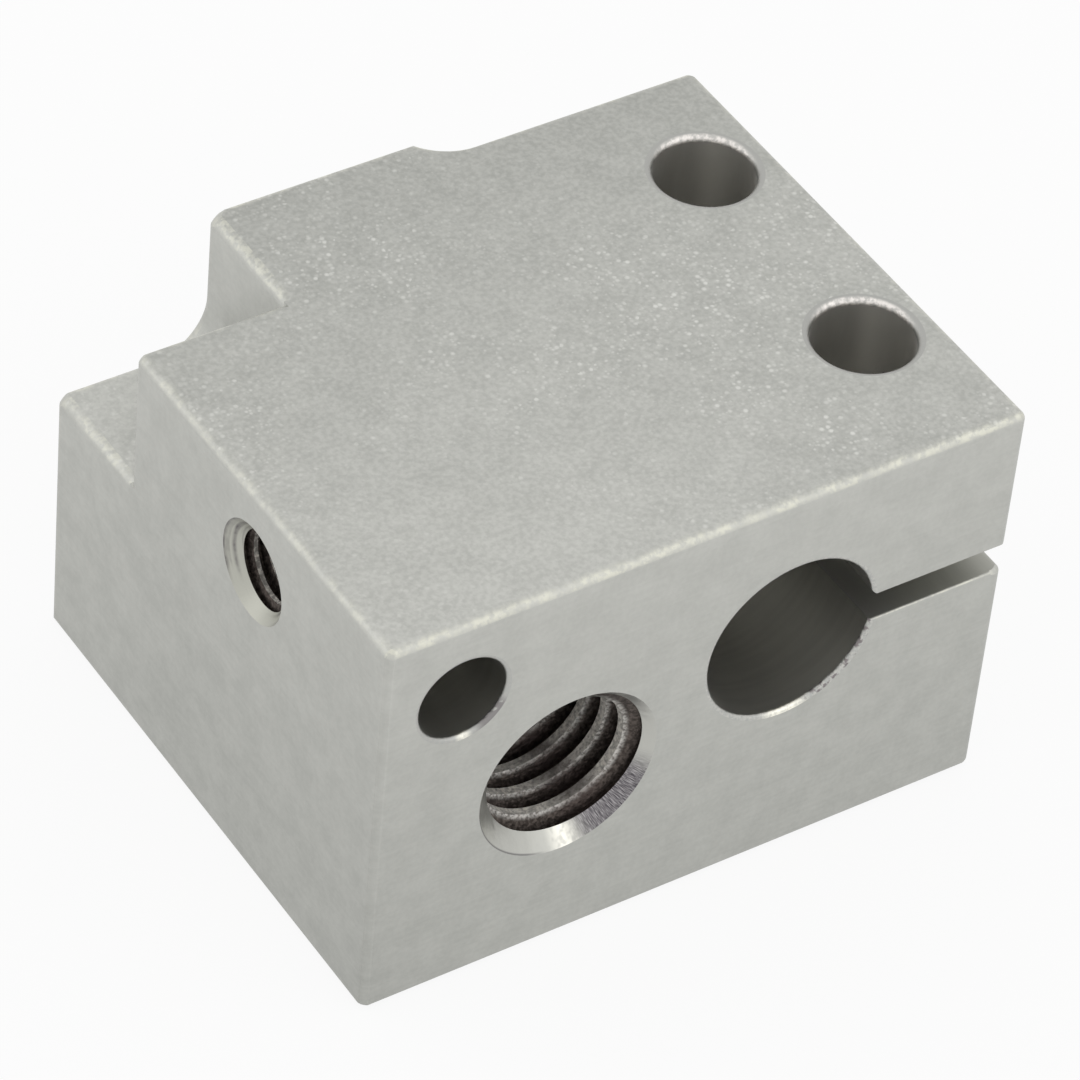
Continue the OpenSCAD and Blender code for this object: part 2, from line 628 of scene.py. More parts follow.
    def cut(self, blank: bpy.types.Object) -> bpy.types.Mesh:
        """Takes every tool's shape off the blank.

        Args:
            blank: The body that is cut.

        Returns:
            The finished mesh. The blank and the tools are removed.
        """
        for tool in self.tools:
            modifier = blank.modifiers.new(tool.name, "BOOLEAN")
            modifier.operation = "DIFFERENCE"
            modifier.solver = "MANIFOLD"
            modifier.material_mode = "TRANSFER"
            modifier.object = tool
        mesh = applied(blank)
        for obj in [blank, *self.tools]:
            bpy.data.objects.remove(obj)
        self.tools.clear()
        return mesh


@dataclass
class ThreadGroove:
    """The groove that a tap leaves, swept along a helix by Geometry Nodes."""

    thread: ThreadSize
    minor_r: float
    length: float
    # How far the groove's body starts inside the wall of the drilled hole
    overlap: float = 0.05

    def tree(self) -> bpy.types.NodeTree:
        """Builds the node tree: a spiral, a trapezoid profile and the sweep.

        Returns:
            The tree, with its sizes as named inputs.
        """
        name = "thread_groove"
        if name in bpy.data.node_groups:
            return bpy.data.node_groups[name]
        tree = bpy.data.node_groups.new(name, "GeometryNodeTree")
        for label, kind in (
            ("Radius", "NodeSocketFloat"),
            ("Depth", "NodeSocketFloat"),
            ("Length", "NodeSocketFloat"),
            ("Turns", "NodeSocketFloat"),
            ("Steps per turn", "NodeSocketInt"),
            ("Mouth width", "NodeSocketFloat"),
            ("Root width", "NodeSocketFloat"),
            ("Material", "NodeSocketMaterial"),
        ):
            tree.interface.new_socket(label, in_out="INPUT", socket_type=kind)
        tree.interface.new_socket("Geometry", in_out="OUTPUT", socket_type="NodeSocketGeometry")
        nodes, links = tree.nodes, tree.links
        sizes = nodes.new("NodeGroupInput")
        spiral = nodes.new("GeometryNodeCurveSpiral")
        spiral.inputs["Reverse"].default_value = True
        upright = nodes.new("GeometryNodeSetCurveNormal")
        upright.mode = "Z_UP"
        profile = nodes.new("GeometryNodeCurvePrimitiveQuadrilateral")
        profile.mode = "TRAPEZOID"
        profile.inputs["Offset"].default_value = 0.0
        turned = nodes.new("GeometryNodeTransform")
        turned.inputs["Rotation"].default_value = (0, 0, math.radians(-90))
        middle = nodes.new("ShaderNodeMath")
        middle.operation = "MULTIPLY"
        middle.inputs[1].default_value = 0.5
        shift = nodes.new("ShaderNodeCombineXYZ")
        sweep = nodes.new("GeometryNodeCurveToMesh")
        sweep.inputs["Fill Caps"].default_value = True
        real = nodes.new("GeometryNodeRealizeInstances")
        dress = nodes.new("GeometryNodeSetMaterial")
        out = nodes.new("NodeGroupOutput")
        for source, target in (
            (sizes.outputs["Steps per turn"], spiral.inputs["Resolution"]),
            (sizes.outputs["Turns"], spiral.inputs["Rotations"]),
            (sizes.outputs["Radius"], spiral.inputs["Start Radius"]),
            (sizes.outputs["Radius"], spiral.inputs["End Radius"]),
            (sizes.outputs["Length"], spiral.inputs["Height"]),
            (spiral.outputs["Curve"], upright.inputs["Curve"]),
            (sizes.outputs["Mouth width"], profile.inputs["Bottom Width"]),
            (sizes.outputs["Root width"], profile.inputs["Top Width"]),
            (sizes.outputs["Depth"], profile.inputs["Height"]),
            (sizes.outputs["Depth"], middle.inputs[0]),
            (middle.outputs[0], shift.inputs["X"]),
            (profile.outputs["Curve"], turned.inputs["Geometry"]),
            (shift.outputs["Vector"], turned.inputs["Translation"]),
            (upright.outputs["Curve"], sweep.inputs["Curve"]),
            (turned.outputs["Geometry"], sweep.inputs["Profile Curve"]),
            (sweep.outputs["Mesh"], real.inputs["Geometry"]),
            (real.outputs["Geometry"], dress.inputs["Geometry"]),
            (sizes.outputs["Material"], dress.inputs["Material"]),
            (dress.outputs["Geometry"], out.inputs["Geometry"]),
        ):
            links.new(source, target)
        return tree

    def build(self, name: str, material: bpy.types.Material) -> bpy.types.Object:
        """Sweeps the groove and turns the result into a plain mesh.

        Args:
            name: The object's name.
            material: The groove's material.

        Returns:
            The groove along +Z from the origin, with no modifier left on it.
        """
        thread = self.thread
        start_r = self.minor_r - self.overlap
        depth = thread.major_r - start_r
        obj = add_object(name, bpy.data.meshes.new(name))
        modifier = obj.modifiers.new(name, "NODES")
        modifier.node_group = self.tree()
        values = {
            "Radius": start_r,
            "Depth": depth,
            "Length": self.length,
            "Turns": self.length / thread.pitch,
            "Steps per turn": thread.steps,
            "Mouth width": thread.mouth(depth),
            "Root width": thread.root_flat,
            "Material": material,
        }
        for item in modifier.node_group.interface.items_tree:
            if item.in_out == "INPUT":
                modifier[item.identifier] = values[item.name]
        mesh = applied(obj)
        obj.modifiers.clear()
        obj.data = mesh
        return obj


class HeaterBlock:
    """The heater block: its blank, the tools that cut it and the finished piece."""

    NOZZLE_THREAD = ThreadSize(major_r=3.0, pitch=1.0, steps=96)
    SCREW_THREAD = ThreadSize(major_r=1.5, pitch=0.5, steps=64)
    # Turns the nozzle thread so that its first crest lies where the photograph shows it, in degrees
    NOZZLE_PHASE = 190.0
    # The hollow balls that round the corners, those at the back left and the one at the slit's
    # lower lip: the middle's distance from each face, and the radius
    BALL = (0.5, 0.6)
    BACK_BALL = (0.8, 1.0)
    LIP_BALL = (0.5, 0.64)
    # How many straight pieces stand for the mill's radius at the step, the end of the boss, the mill's
    # radius at the shelf, the lip at the heater bore and the break on the slit's front edges
    STEP_BENDS = 20
    BOSS_BENDS = 8
    SHELF_BENDS = 24
    LIP_BENDS = 14
    BREAK_BENDS = 4
    # How many flats stand for the circle of the nozzle's hole, the heater bore and the screws' taps
    NOZZLE_FLATS = 128
    HEATER_FLATS = 160
    TAP_FLATS = 64
    # Faces that meet at more than this angle keep a hard edge, in degrees
    HARD_EDGE = 28.0

    def __init__(self, sizes: BlockSizes, materials: dict[Finish, bpy.types.Material]) -> None:
        """Keeps the block's sizes and lays out the tools."""
        self.sizes = sizes
        self.box = Toolbox(materials)

    def plan_outline(self) -> list[Point]:
        """Draws the block from above, with the stepped back and square outer corners.

        Returns:
            The outline's points.
        """
        s = self.sizes
        reach = s.cutter_r + s.edge_r
        lean = math.degrees(math.asin((reach - s.step_in) / reach))
        mill = (s.step_x, s.back_right + s.cutter_r)
        boss = (s.boss_end, s.depth - s.edge_r)
        outline = [(0.0, 0.0), (s.width, 0.0), (s.width, s.back_right)]
        outline += arc(mill, s.cutter_r, 270, 180 + lean, self.STEP_BENDS)
        outline += arc(boss, s.edge_r, lean, 90, self.BOSS_BENDS)
        return outline + [(0.0, s.depth)]

    def break_outer_edges(self) -> None:
        """Rounds the twelve outer edges and the edges of the stepped back face."""
        s = self.sizes
        for name, plane, side, length, finish in (
            ("edge_along_y", Plane.FRONT, s.width, s.depth, Finish.SOFT_EDGE),
            ("edge_along_x", Plane.SIDE, s.depth, s.width, Finish.EDGE),
        ):
            corners = ((0.0, 0.0), (side, 0.0), (side, s.height), (0.0, s.height))
            for quadrant, (across, z) in enumerate(corners):
                outline = corner_waste(across, z, quadrant, s.edge_r)
                self.box.mill(name, outline, plane, -OVER, length + 2 * OVER, finish)
        upright = (
            (0.0, 0.0, s.edge_r),
            (s.width, 0.0, s.edge_r),
            (s.width, s.back_right, s.edge_r),
            (0.0, s.depth, s.corner_r),
        )
        for quadrant, (x, y, radius) in enumerate(upright):
            outline = corner_waste(x, y, quadrant, radius)
            self.box.mill("edge_upright", outline, Plane.TOP, -OVER, s.height + 2 * OVER, Finish.EDGE)
        straight = s.width - s.step_x + OVER
        for quadrant, z in ((1, 0.0), (2, s.height)):
            outline = corner_waste(s.back_right, z, quadrant, s.edge_r)
            self.box.mill("edge_of_step", outline, Plane.SIDE, s.step_x, straight, Finish.EDGE)
        for heading, z in ((Heading.UP, 0.0), (Heading.DOWN, s.height)):
            place = heading.matrix(Vector((s.step_x, s.back_right + s.cutter_r, z)))
            self._round_ring("edge_of_mill_radius", s.edge_r, place, Finish.EDGE)

    def knock_corners(self) -> None:
        """Rounds the corners where three edges meet, as blasting leaves them."""
        s = self.sizes
        for x, y, z, inward in (
            (0.0, 0.0, 0.0, (1, 1, 1)),
            (s.width, 0.0, 0.0, (-1, 1, 1)),
            (s.width, s.back_right, 0.0, (-1, -1, 1)),
            (0.0, s.depth, 0.0, (1, -1, 1)),
            (0.0, 0.0, s.height, (1, 1, -1)),
            (s.width, 0.0, s.height, (-1, 1, -1)),
            (s.width, s.back_right, s.height, (-1, -1, -1)),
            (0.0, s.notch_y, s.height, (1, -1, -1)),
        ):
            finish = Finish.SOFT_EDGE if y else Finish.EDGE
            self.box.knock("corner", (x, y, z), inward, self.BALL, finish)
        for x, z in ((0.0, s.shelf_h), (s.shelf_w, s.height)):
            corner = (x, s.depth, z)
            self.box.knock("back_corner", corner, (1, -1, -1), self.BACK_BALL, Finish.SOFT_EDGE)
        lip = (s.width, 0.0, s.slit_low)
        self.box.knock("lip_corner", lip, (-1, 1, -1), self.LIP_BALL, Finish.SOFT_EDGE)

    def _round_ring(self, name: str, radius: float, place: Matrix, finish: Finish) -> None:
        """Adds the tool that rounds the edge of a wall left by the end mill.

        Args:
            name: The tool's name.
            radius: Radius of the rounding.
            place: The mill's axis, entering the face whose edge is rounded.
            finish: What it leaves on the block.
        """
        reach = self.sizes.cutter_r + radius
        profile = [(0, -OVER), (reach, -OVER)]
        profile += arc((reach, radius), radius, 270, 180, EDGE_STEPS)
        profile += [(0, radius)]
        finishes = [finish] * (len(profile) - 1)
        self.box.tools.append(self.box.revolved(name, profile, finishes, place))

    def cut_shelf(self) -> None:
        """Mills the shelf and breaks the edges around the cut."""
        s = self.sizes
        fillet = (s.shelf_w - s.cutter_r, s.shelf_h + s.cutter_r)
        top = s.height + OVER
        length = s.shelf_l + OVER
        section = [(-OVER, s.shelf_h)]
        section += arc(fillet, s.cutter_r, 270, 360, self.SHELF_BENDS)
        section += [(s.shelf_w, top), (-OVER, top)]
        self.box.mill("shelf", section, Plane.FRONT, s.notch_y, length)
        for x, z in ((0.0, s.shelf_h), (s.shelf_w, s.height)):
            outline = corner_waste(x, z, 3, s.edge_r)
            name = "shelf_edge_along_y"
            self.box.mill(name, outline, Plane.FRONT, s.notch_y, length, Finish.SPECKLED_EDGE_HIGHLIGHT)
        outline = corner_waste(0.0, s.notch_y, 3, s.edge_r)
        self.box.mill("shelf_edge_upright", outline, Plane.TOP, s.shelf_h, top - s.shelf_h, Finish.EDGE)
        outline = corner_waste(s.notch_y, s.height, 2, s.edge_r)
        name = "shelf_edge_along_x"
        self.box.mill(name, outline, Plane.SIDE, -OVER, s.shelf_w + OVER, Finish.SOFT_EDGE)
        outline = corner_waste(s.depth, s.shelf_h, 2, s.corner_r)
        self.box.mill("shelf_back_edge", outline, Plane.SIDE, -OVER, fillet[0] + OVER, Finish.EDGE)
        start = Matrix.Translation((fillet[0], s.depth, fillet[1]))
        axis = start @ Matrix.Rotation(math.pi / 2, 4, "X")
        self._round_ring("shelf_back_ring", s.corner_r, axis, Finish.SOFT_EDGE)
        outline = corner_waste(s.shelf_w, s.depth, 3, s.corner_r)
        self.box.mill("boss_corner", outline, Plane.TOP, fillet[1], top - fillet[1], Finish.EDGE)

    def drill_holes(self) -> None:
        """Drills and chamfers every hole."""
        s = self.sizes
        sink = s.nozzle_sink_r - s.nozzle.radius
        self.box.drill(
            "nozzle_drill",
            s.nozzle.radius,
            s.depth,
            s.nozzle.enter(Heading.BACK),
            (Finish.NOZZLE_SINK, Finish.CREST),
            (sink, sink),
            self.NOZZLE_FLATS,
        )
        self.box.drill(
            "heater_drill",
            s.heater.radius,
            s.depth,
            s.heater.enter(Heading.BACK),
            (Finish.HEATER_RIM, Finish.HEATER_BORE),
            (s.bore_rim, 0.0),
            self.HEATER_FLATS,
            rounded=True,
        )
        self.box.drill(
            "sensor_drill",
            s.sensor.radius,
            s.notch_y,
            s.sensor.enter(Heading.BACK),
            (Finish.SENSOR_RIM, Finish.SENSOR_BORE),
            (s.bore_rim, s.bore_rim),
            rounded=True,
        )
        # A drill runs past its length, so these two are told to end short of the middle of the slit
        for hole in s.clamp_holes:
            self.box.drill(
                "clamp_tap_drill",
                s.clamp_tap_r,
                s.heater.z - OVER,
                hole.enter(Heading.UP),
                (Finish.SCREW_RIM, Finish.CREST),
                (s.screw_rim, 0.0),
                self.TAP_FLATS,
            )
            self.box.drill(
                "clamp_drill",
                hole.radius,
                s.height - s.heater.z - OVER,
                hole.enter(Heading.DOWN, s.height),
                (Finish.SCREW_RIM, Finish.SCREW_HOLE),
                (s.screw_rim, 0.0),
                rounded=True,
            )
        self.box.drill(
            "set_screw_drill",
            s.set_screw.radius,
            s.sensor.x - OVER,
            s.set_screw.enter(Heading.RIGHT),
            (Finish.SET_SINK, Finish.CREST),
            (s.set_sink_r - s.set_screw.radius, 0.0),
            self.TAP_FLATS,
        )

    def tap_holes(self) -> None:
        """Cuts the threads of the nozzle, the clamp screws and the set screw."""
        s = self.sizes
        place = s.nozzle.enter(Heading.BACK)
        radius = s.nozzle.radius
        self.box.tap("nozzle_tap", self.NOZZLE_THREAD, radius, s.depth, place, self.NOZZLE_PHASE)
        for hole in s.clamp_holes:
            place = hole.enter(Heading.UP)
            self.box.tap("clamp_tap", self.SCREW_THREAD, s.clamp_tap_r, s.heater.z - OVER, place)
        place = s.set_screw.enter(Heading.RIGHT)
        radius = s.set_screw.radius
        self.box.tap("set_screw_tap", self.SCREW_THREAD, radius, s.sensor.x - OVER, place)

    def saw_clamp(self) -> None:
        """Saws the slit from the heater bore to the right face and rounds its lips."""
        s = self.sizes
        lip_z = s.slit_top + s.lip_r
        reach = s.heater.radius + s.lip_r
        lip_x = s.heater.x + math.sqrt(reach**2 - (lip_z - s.heater.z) ** 2)
        lean = math.degrees(math.atan2(lip_z - s.heater.z, lip_x - s.heater.x))
        mouth = s.width - s.mouth_r
        low, high = s.slit_low - s.mouth_r, s.slit_top + s.mouth_r
        outline = [(s.heater.x, s.slit_low)]
        outline += arc((mouth, low), s.mouth_r, 90, 0, EDGE_STEPS)
        outline += [(s.width + OVER, low), (s.width + OVER, high)]
        outline += arc((mouth, high), s.mouth_r, 360, 270, EDGE_STEPS)
        outline += arc((lip_x, lip_z), s.lip_r, 270, 180 + lean, self.LIP_BENDS)
        outline += [(s.heater.x, s.heater.z)]
        self.box.mill("clamp_slit", outline, Plane.FRONT, -OVER, s.depth + 2 * OVER, Finish.SLIT)
        start = s.heater.x + math.sqrt(s.heater.radius**2 - (s.slit_gap / 2) ** 2)
        for quadrant, z in ((0, s.slit_top), (3, s.slit_low)):
            outline = corner_waste(0.0, z, quadrant, s.lip_break, self.BREAK_BENDS)
            self.box.mill("lip_edge", outline, Plane.SIDE, start, s.width - start + OVER, Finish.EDGE)

    def build(self) -> bpy.types.Object:
        """Cuts the block and places it in the frame.

        Returns:
            The finished block, its object at the origin and its mesh in metres.
        """
        plan = self.plan_outline()
        blank = self.box.extruded("blank", plan, Plane.TOP, 0, self.sizes.height, Finish.BLASTED)
        self.break_outer_edges()
        self.cut_shelf()
        self.knock_corners()
        self.drill_holes()
        self.saw_clamp()
        self.tap_holes()
        mesh = self.box.cut(blank)
        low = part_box(NODE)[0]
        mesh.transform(Matrix.Translation(low) @ Matrix.Scale(MM, 4))
        mesh.shade_smooth()
        mesh.set_sharp_from_angle(angle=math.radians(self.HARD_EDGE))
        piece = add_object("machined_block", mesh)
        modifier = piece.modifiers.new("flat_faces_stay_flat", "WEIGHTED_NORMAL")
        modifier.keep_sharp = True
        finished = applied(piece)
        piece.modifiers.clear()
        piece.data = finished
        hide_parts(NODE)
        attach(piece, "root")
        return piece


@dataclass(frozen=True)
class Ramp:
    """A smooth change of a value: the range from low to high becomes the one from start to end."""

    low: float
    high: float
    start: float = 0.0
    end: float = 1.0


@dataclass(frozen=True)
class Zone:
    """The stretch between two values, with ends that fade over the blur to either side."""

    low: float
    high: float
    blur: float


@dataclass(frozen=True)
class Grain:
    """A noise: its waves to the millimetre, its finer layers, and its squeeze along each axis."""

    scale: float
    detail: float = 2.0
    squeeze: Place | None = None


@dataclass(frozen=True)
class Relief:
    """How a height bends the surface: its depth in millimetres and its strength."""

    depth: float
    strength: float


# The range that holds nearly all of a noise
NOISE = Ramp(0.3, 0.7)


class Graph:
    """Shorthand for building a shader tree."""

    NOISE_ROUGHNESS = 0.55
    # Sockets of a Mix node that are there when it mixes colours
    MIX_IN = (0, 6, 7)
    MIX_OUT = 2

    def __init__(self, tree: bpy.types.NodeTree) -> None:
        """Keeps the tree."""
        self.tree = tree

    def add(self, kind: str, inputs: dict | None = None, **settings: object) -> bpy.types.Node:
        """Adds a node.

        Args:
            kind: The node's type.
            inputs: Values or sockets by input name or number.
            **settings: Properties of the node.

        Returns:
            The node.
        """
        node = self.tree.nodes.new(kind)
        for name, value in settings.items():
            setattr(node, name, value)
        for key, value in (inputs or {}).items():
            self.feed(node.inputs[key], value)
        return node

    def feed(self, socket: Socket, value: Value) -> None:
        """Links a socket to an input, or sets a plain value on it.

        Args:
            socket: The input.
            value: The socket or the value that feeds it.
        """
        if isinstance(value, Socket):
            self.tree.links.new(value, socket)
        elif isinstance(value, tuple) and socket.type == "RGBA":
            socket.default_value = (*value, 1.0)
        else:
            socket.default_value = value

    def math(self, operation: str, first: Value, *others: Value) -> Socket:
        """Makes a sum.

        Args:
            operation: The sum that is made.
            first: Its first value.
            *others: The further ones, which it takes in order; a function of one value has none.

        Returns:
            The result.
        """
        if not others:
            return self.add("ShaderNodeMath", {0: first}, operation=operation).outputs[0]
        for other in others:
            first = self.add("ShaderNodeMath", {0: first, 1: other}, operation=operation).outputs[0]
        return first

    def vector(self, operation: str, first: Value, second: Value) -> bpy.types.Node:
        """Returns the node of a sum on two vectors."""
        return self.add("ShaderNodeVectorMath", {0: first, 1: second}, operation=operation)

    def ramp(self, value: Value, ramp: Ramp) -> Socket:
        """Sends a value through a ramp.

        Args:
            value: The value.
            ramp: The ramp, which also keeps the result between its start and its end.

        Returns:
            The result.
        """
        inputs = {
            "Value": value,
            "From Min": ramp.low,
            "From Max": ramp.high,
            "To Min": ramp.start,
            "To Max": ramp.end,
        }
        return self.add("ShaderNodeMapRange", inputs, interpolation_type="SMOOTHSTEP").outputs[0]

    def pick(self, mask: Value, off: float, on: float) -> Socket:
        """Returns a number that is `off` where the mask is 0 and `on` where it is 1."""
        return self.ramp(mask, Ramp(0.0, 1.0, off, on))

    def sway(self, noise: Value, amount: float) -> Socket:
        """Returns a noise as a wander to either side of 0, by this amount."""
        return self.ramp(noise, Ramp(NOISE.low, NOISE.high, -amount, amount))

    def between(self, value: Value, zone: Zone) -> Socket:
        """Tells whether a value lies in a zone.

        Args:
            value: The value.
            zone: The zone.

        Returns:
            1 inside it and 0 outside it, with soft ends.
        """
        rise = self.ramp(value, Ramp(zone.low - zone.blur, zone.low + zone.blur))
        fall = self.ramp(value, Ramp(zone.high + zone.blur, zone.high - zone.blur))
        return self.math("MULTIPLY", rise, fall)

    def noise(self, vector: Value, grain: Grain) -> Socket:
        """Makes a noise of about 0.5 on average.

        Args:
            vector: Where the surface lies.
            grain: The noise's kind.

        Returns:
            The noise.
        """
        if grain.squeeze:
            vector = self.vector("MULTIPLY", vector, grain.squeeze).outputs[0]
        inputs = {
            "Vector": vector,
            "Scale": grain.scale,
            "Detail": grain.detail,
            "Roughness": self.NOISE_ROUGHNESS,
        }
        return self.add("ShaderNodeTexNoise", inputs).outputs["Fac"]

    def mix(self, factor: Value, a: Value, b: Value) -> Socket:
        """Mixes two colours.

        Args:
            factor: The share of the second colour.
            a: The first colour.
            b: The second colour.

        Returns:
            The mixed colour.
        """
        node = self.add("ShaderNodeMix", data_type="RGBA")
        for number, value in zip(self.MIX_IN, (factor, a, b)):
            self.feed(node.inputs[number], value)
        return node.outputs[self.MIX_OUT]

    def bump(self, height: Value, relief: Relief) -> Socket:
        """Returns a normal bent by a height."""
        inputs = {"Height": height, "Distance": relief.depth * MM, "Strength": relief.strength}
        return self.add("ShaderNodeBump", inputs).outputs["Normal"]

    def facing(self, way: Place) -> Socket:
        """Returns how squarely the surface faces a way on the piece, from -1 to 1."""
        normal = self.add("ShaderNodeTexCoord").outputs["Normal"]
        return self.vector("DOT_PRODUCT", normal, way).outputs["Value"]

    def millimetres(self) -> Socket:
        """Returns the piece's own coordinates in millimetres."""
        coordinates = self.add("ShaderNodeTexCoord").outputs["Object"]
        return self.vector("MULTIPLY", coordinates, (1 / MM, 1 / MM, 1 / MM)).outputs[0]

    def axes(self, vector: Value) -> list[Socket]:
        """Returns the X, the Y and the Z of a vector."""
        return list(self.add("ShaderNodeSeparateXYZ", {0: vector}).outputs)


class Effect:
    """A shader node group that several finishes share."""

    name = ""
    inputs: tuple[tuple[str, str], ...] = ()
    outputs: tuple[tuple[str, str], ...] = ()

    @classmethod
    def tree(cls) -> bpy.types.NodeTree:
        """Builds the group once.

        Returns:
            The group's tree.
        """
        found = bpy.data.node_groups.get(cls.name)
        if found:
            return found
        tree = bpy.data.node_groups.new(cls.name, "ShaderNodeTree")
        for way, sockets in (("INPUT", cls.inputs), ("OUTPUT", cls.outputs)):
            for label, kind in sockets:
                tree.interface.new_socket(label, in_out=way, socket_type=kind)
        graph = Graph(tree)
        results = cls.wire(graph, graph.add("NodeGroupInput").outputs)
        graph.add("NodeGroupOutput", results)
        return tree

    @classmethod
    def wire(cls, graph: Graph, given: bpy.types.bpy_prop_collection) -> dict[str, Socket]:
        """Builds the inside of the group and returns a socket for each output."""
        raise NotImplementedError

    @classmethod
    def place(cls, graph: Graph, inputs: dict[str, Value]) -> bpy.types.bpy_prop_collection:
        """Places the group in a material.

        Args:
            graph: The material's graph.
            inputs: Values or sockets for the group's inputs.

        Returns:
            The group's outputs.
        """
        return graph.add("ShaderNodeGroup", inputs, node_tree=cls.tree()).outputs


class BeadBlast(Effect):
    """Pits of two sizes whose glints are painted in as highlights, each in its own strength, over a
    fine grain.
    """

    name = "bead_blast"
    inputs = (
        ("Vector", "NodeSocketVector"),
        ("Pit size", "NodeSocketFloat"),
        ("Share", "NodeSocketFloat"),
    )
    outputs = (
        ("Glint", "NodeSocketFloat"),
        ("Grain", "NodeSocketFloat"),
        ("Mottle", "NodeSocketFloat"),
    )
    # How much finer the second layer of pits is, and how bright its glints are beside the first's
    FINER = 1.5
    FAINTER = 0.7
    # A pit's glint by the distance from its middle, and the power that keeps most of the pits faint
    DOT = Ramp(0.15, 0.6, 1.0, 0.0)
    CONTRAST = 2.2
    GRAIN = Grain(5.5)
    MOTTLE = Grain(0.9, 4.0)

    @classmethod
    def wire(cls, graph: Graph, given: bpy.types.bpy_prop_collection) -> dict[str, Socket]:
        """Builds the inside of the group.

        Args:
            graph: The group's graph.
            given: The group's inputs.

        Returns:
            The glint, the grain and the mottle.
        """
        scale = graph.math("DIVIDE", 1.0, given["Pit size"])
        limit = graph.math("SUBTRACT", 1.0, given["Share"])
        large = cls.pits(graph, given["Vector"], scale, limit)
        small = cls.pits(graph, given["Vector"], graph.math("MULTIPLY", scale, cls.FINER), limit)
        return {
            "Glint": graph.math("MAXIMUM", large, graph.math("MULTIPLY", small, cls.FAINTER)),
            "Grain": graph.noise(given["Vector"], cls.GRAIN),
            "Mottle": graph.noise(given["Vector"], cls.MOTTLE),
        }

    @classmethod
    def pits(cls, graph: Graph, vector: Socket, scale: Socket, limit: Socket) -> Socket:
        """Makes one layer of pits.

        Args:
            graph: The group's graph.
            vector: Where the surface lies, in millimetres.
            scale: Pits to the millimetre.
            limit: The chance above which a pit glints.

        Returns:
            Its glint.
        """
        cells = graph.add("ShaderNodeTexVoronoi", {"Vector": vector, "Scale": scale})
        parts = graph.add("ShaderNodeSeparateColor", {0: cells.outputs["Color"]})
        chance, strength, _ = parts.outputs
        lit = graph.math("GREATER_THAN", chance, limit)
        dot = graph.ramp(cells.outputs["Distance"], cls.DOT)
        return graph.math("MULTIPLY", lit, dot, graph.math("POWER", strength, cls.CONTRAST))


class AroundAxis(Effect):
    """Where a surface lies around the axis of a hole that runs along Y."""

    name = "around_axis"
    inputs = (("Vector", "NodeSocketVector"), ("Axis", "NodeSocketVector"))
    outputs = (("Angle", "NodeSocketFloat"), ("Radius", "NodeSocketFloat"))

    @classmethod
    def wire(cls, graph: Graph, given: bpy.types.bpy_prop_collection) -> dict[str, Socket]:
        """Builds the inside of the group.

        Args:
            graph: The group's graph.
            given: The group's inputs.

        Returns:
            The angle from +X towards +Z, in degrees, and the distance from the axis.
        """
        x, _, z = graph.axes(graph.vector("SUBTRACT", given["Vector"], given["Axis"]).outputs[0])
        squares = graph.math("ADD", graph.math("MULTIPLY", x, x), graph.math("MULTIPLY", z, z))
        return {
            "Angle": graph.math("DEGREES", graph.math("ARCTAN2", z, x)),
            "Radius": graph.math("SQRT", squares),
        }


@dataclass(frozen=True)
class MetalFinish:
    """A finish on the aluminium: the two tones that it wanders between, and its roughness."""

    colour: Colour
    light: Colour
    roughness: float = 0.5

    def build(self, finish: Finish) -> bpy.types.Material:
        """Makes the material.

        Args:
            finish: The finish, which names the material.

        Returns:
            The material.
        """
        material = bpy.data.materials.new(finish.value)
        material.use_nodes = True
        graph = Graph(material.node_tree)
        shader = material.node_tree.nodes["Principled BSDF"]
        inputs = {"Metallic": 1.0, "Roughness": self.roughness, **self.wire(graph)}
        for name, value in inputs.items():
            graph.feed(shader.inputs[name], value)
        return material

    def wire(self, graph: Graph) -> dict[str, Socket]:
        """Returns what feeds the shader, by input; every finish makes it in its own way."""
        raise NotImplementedError


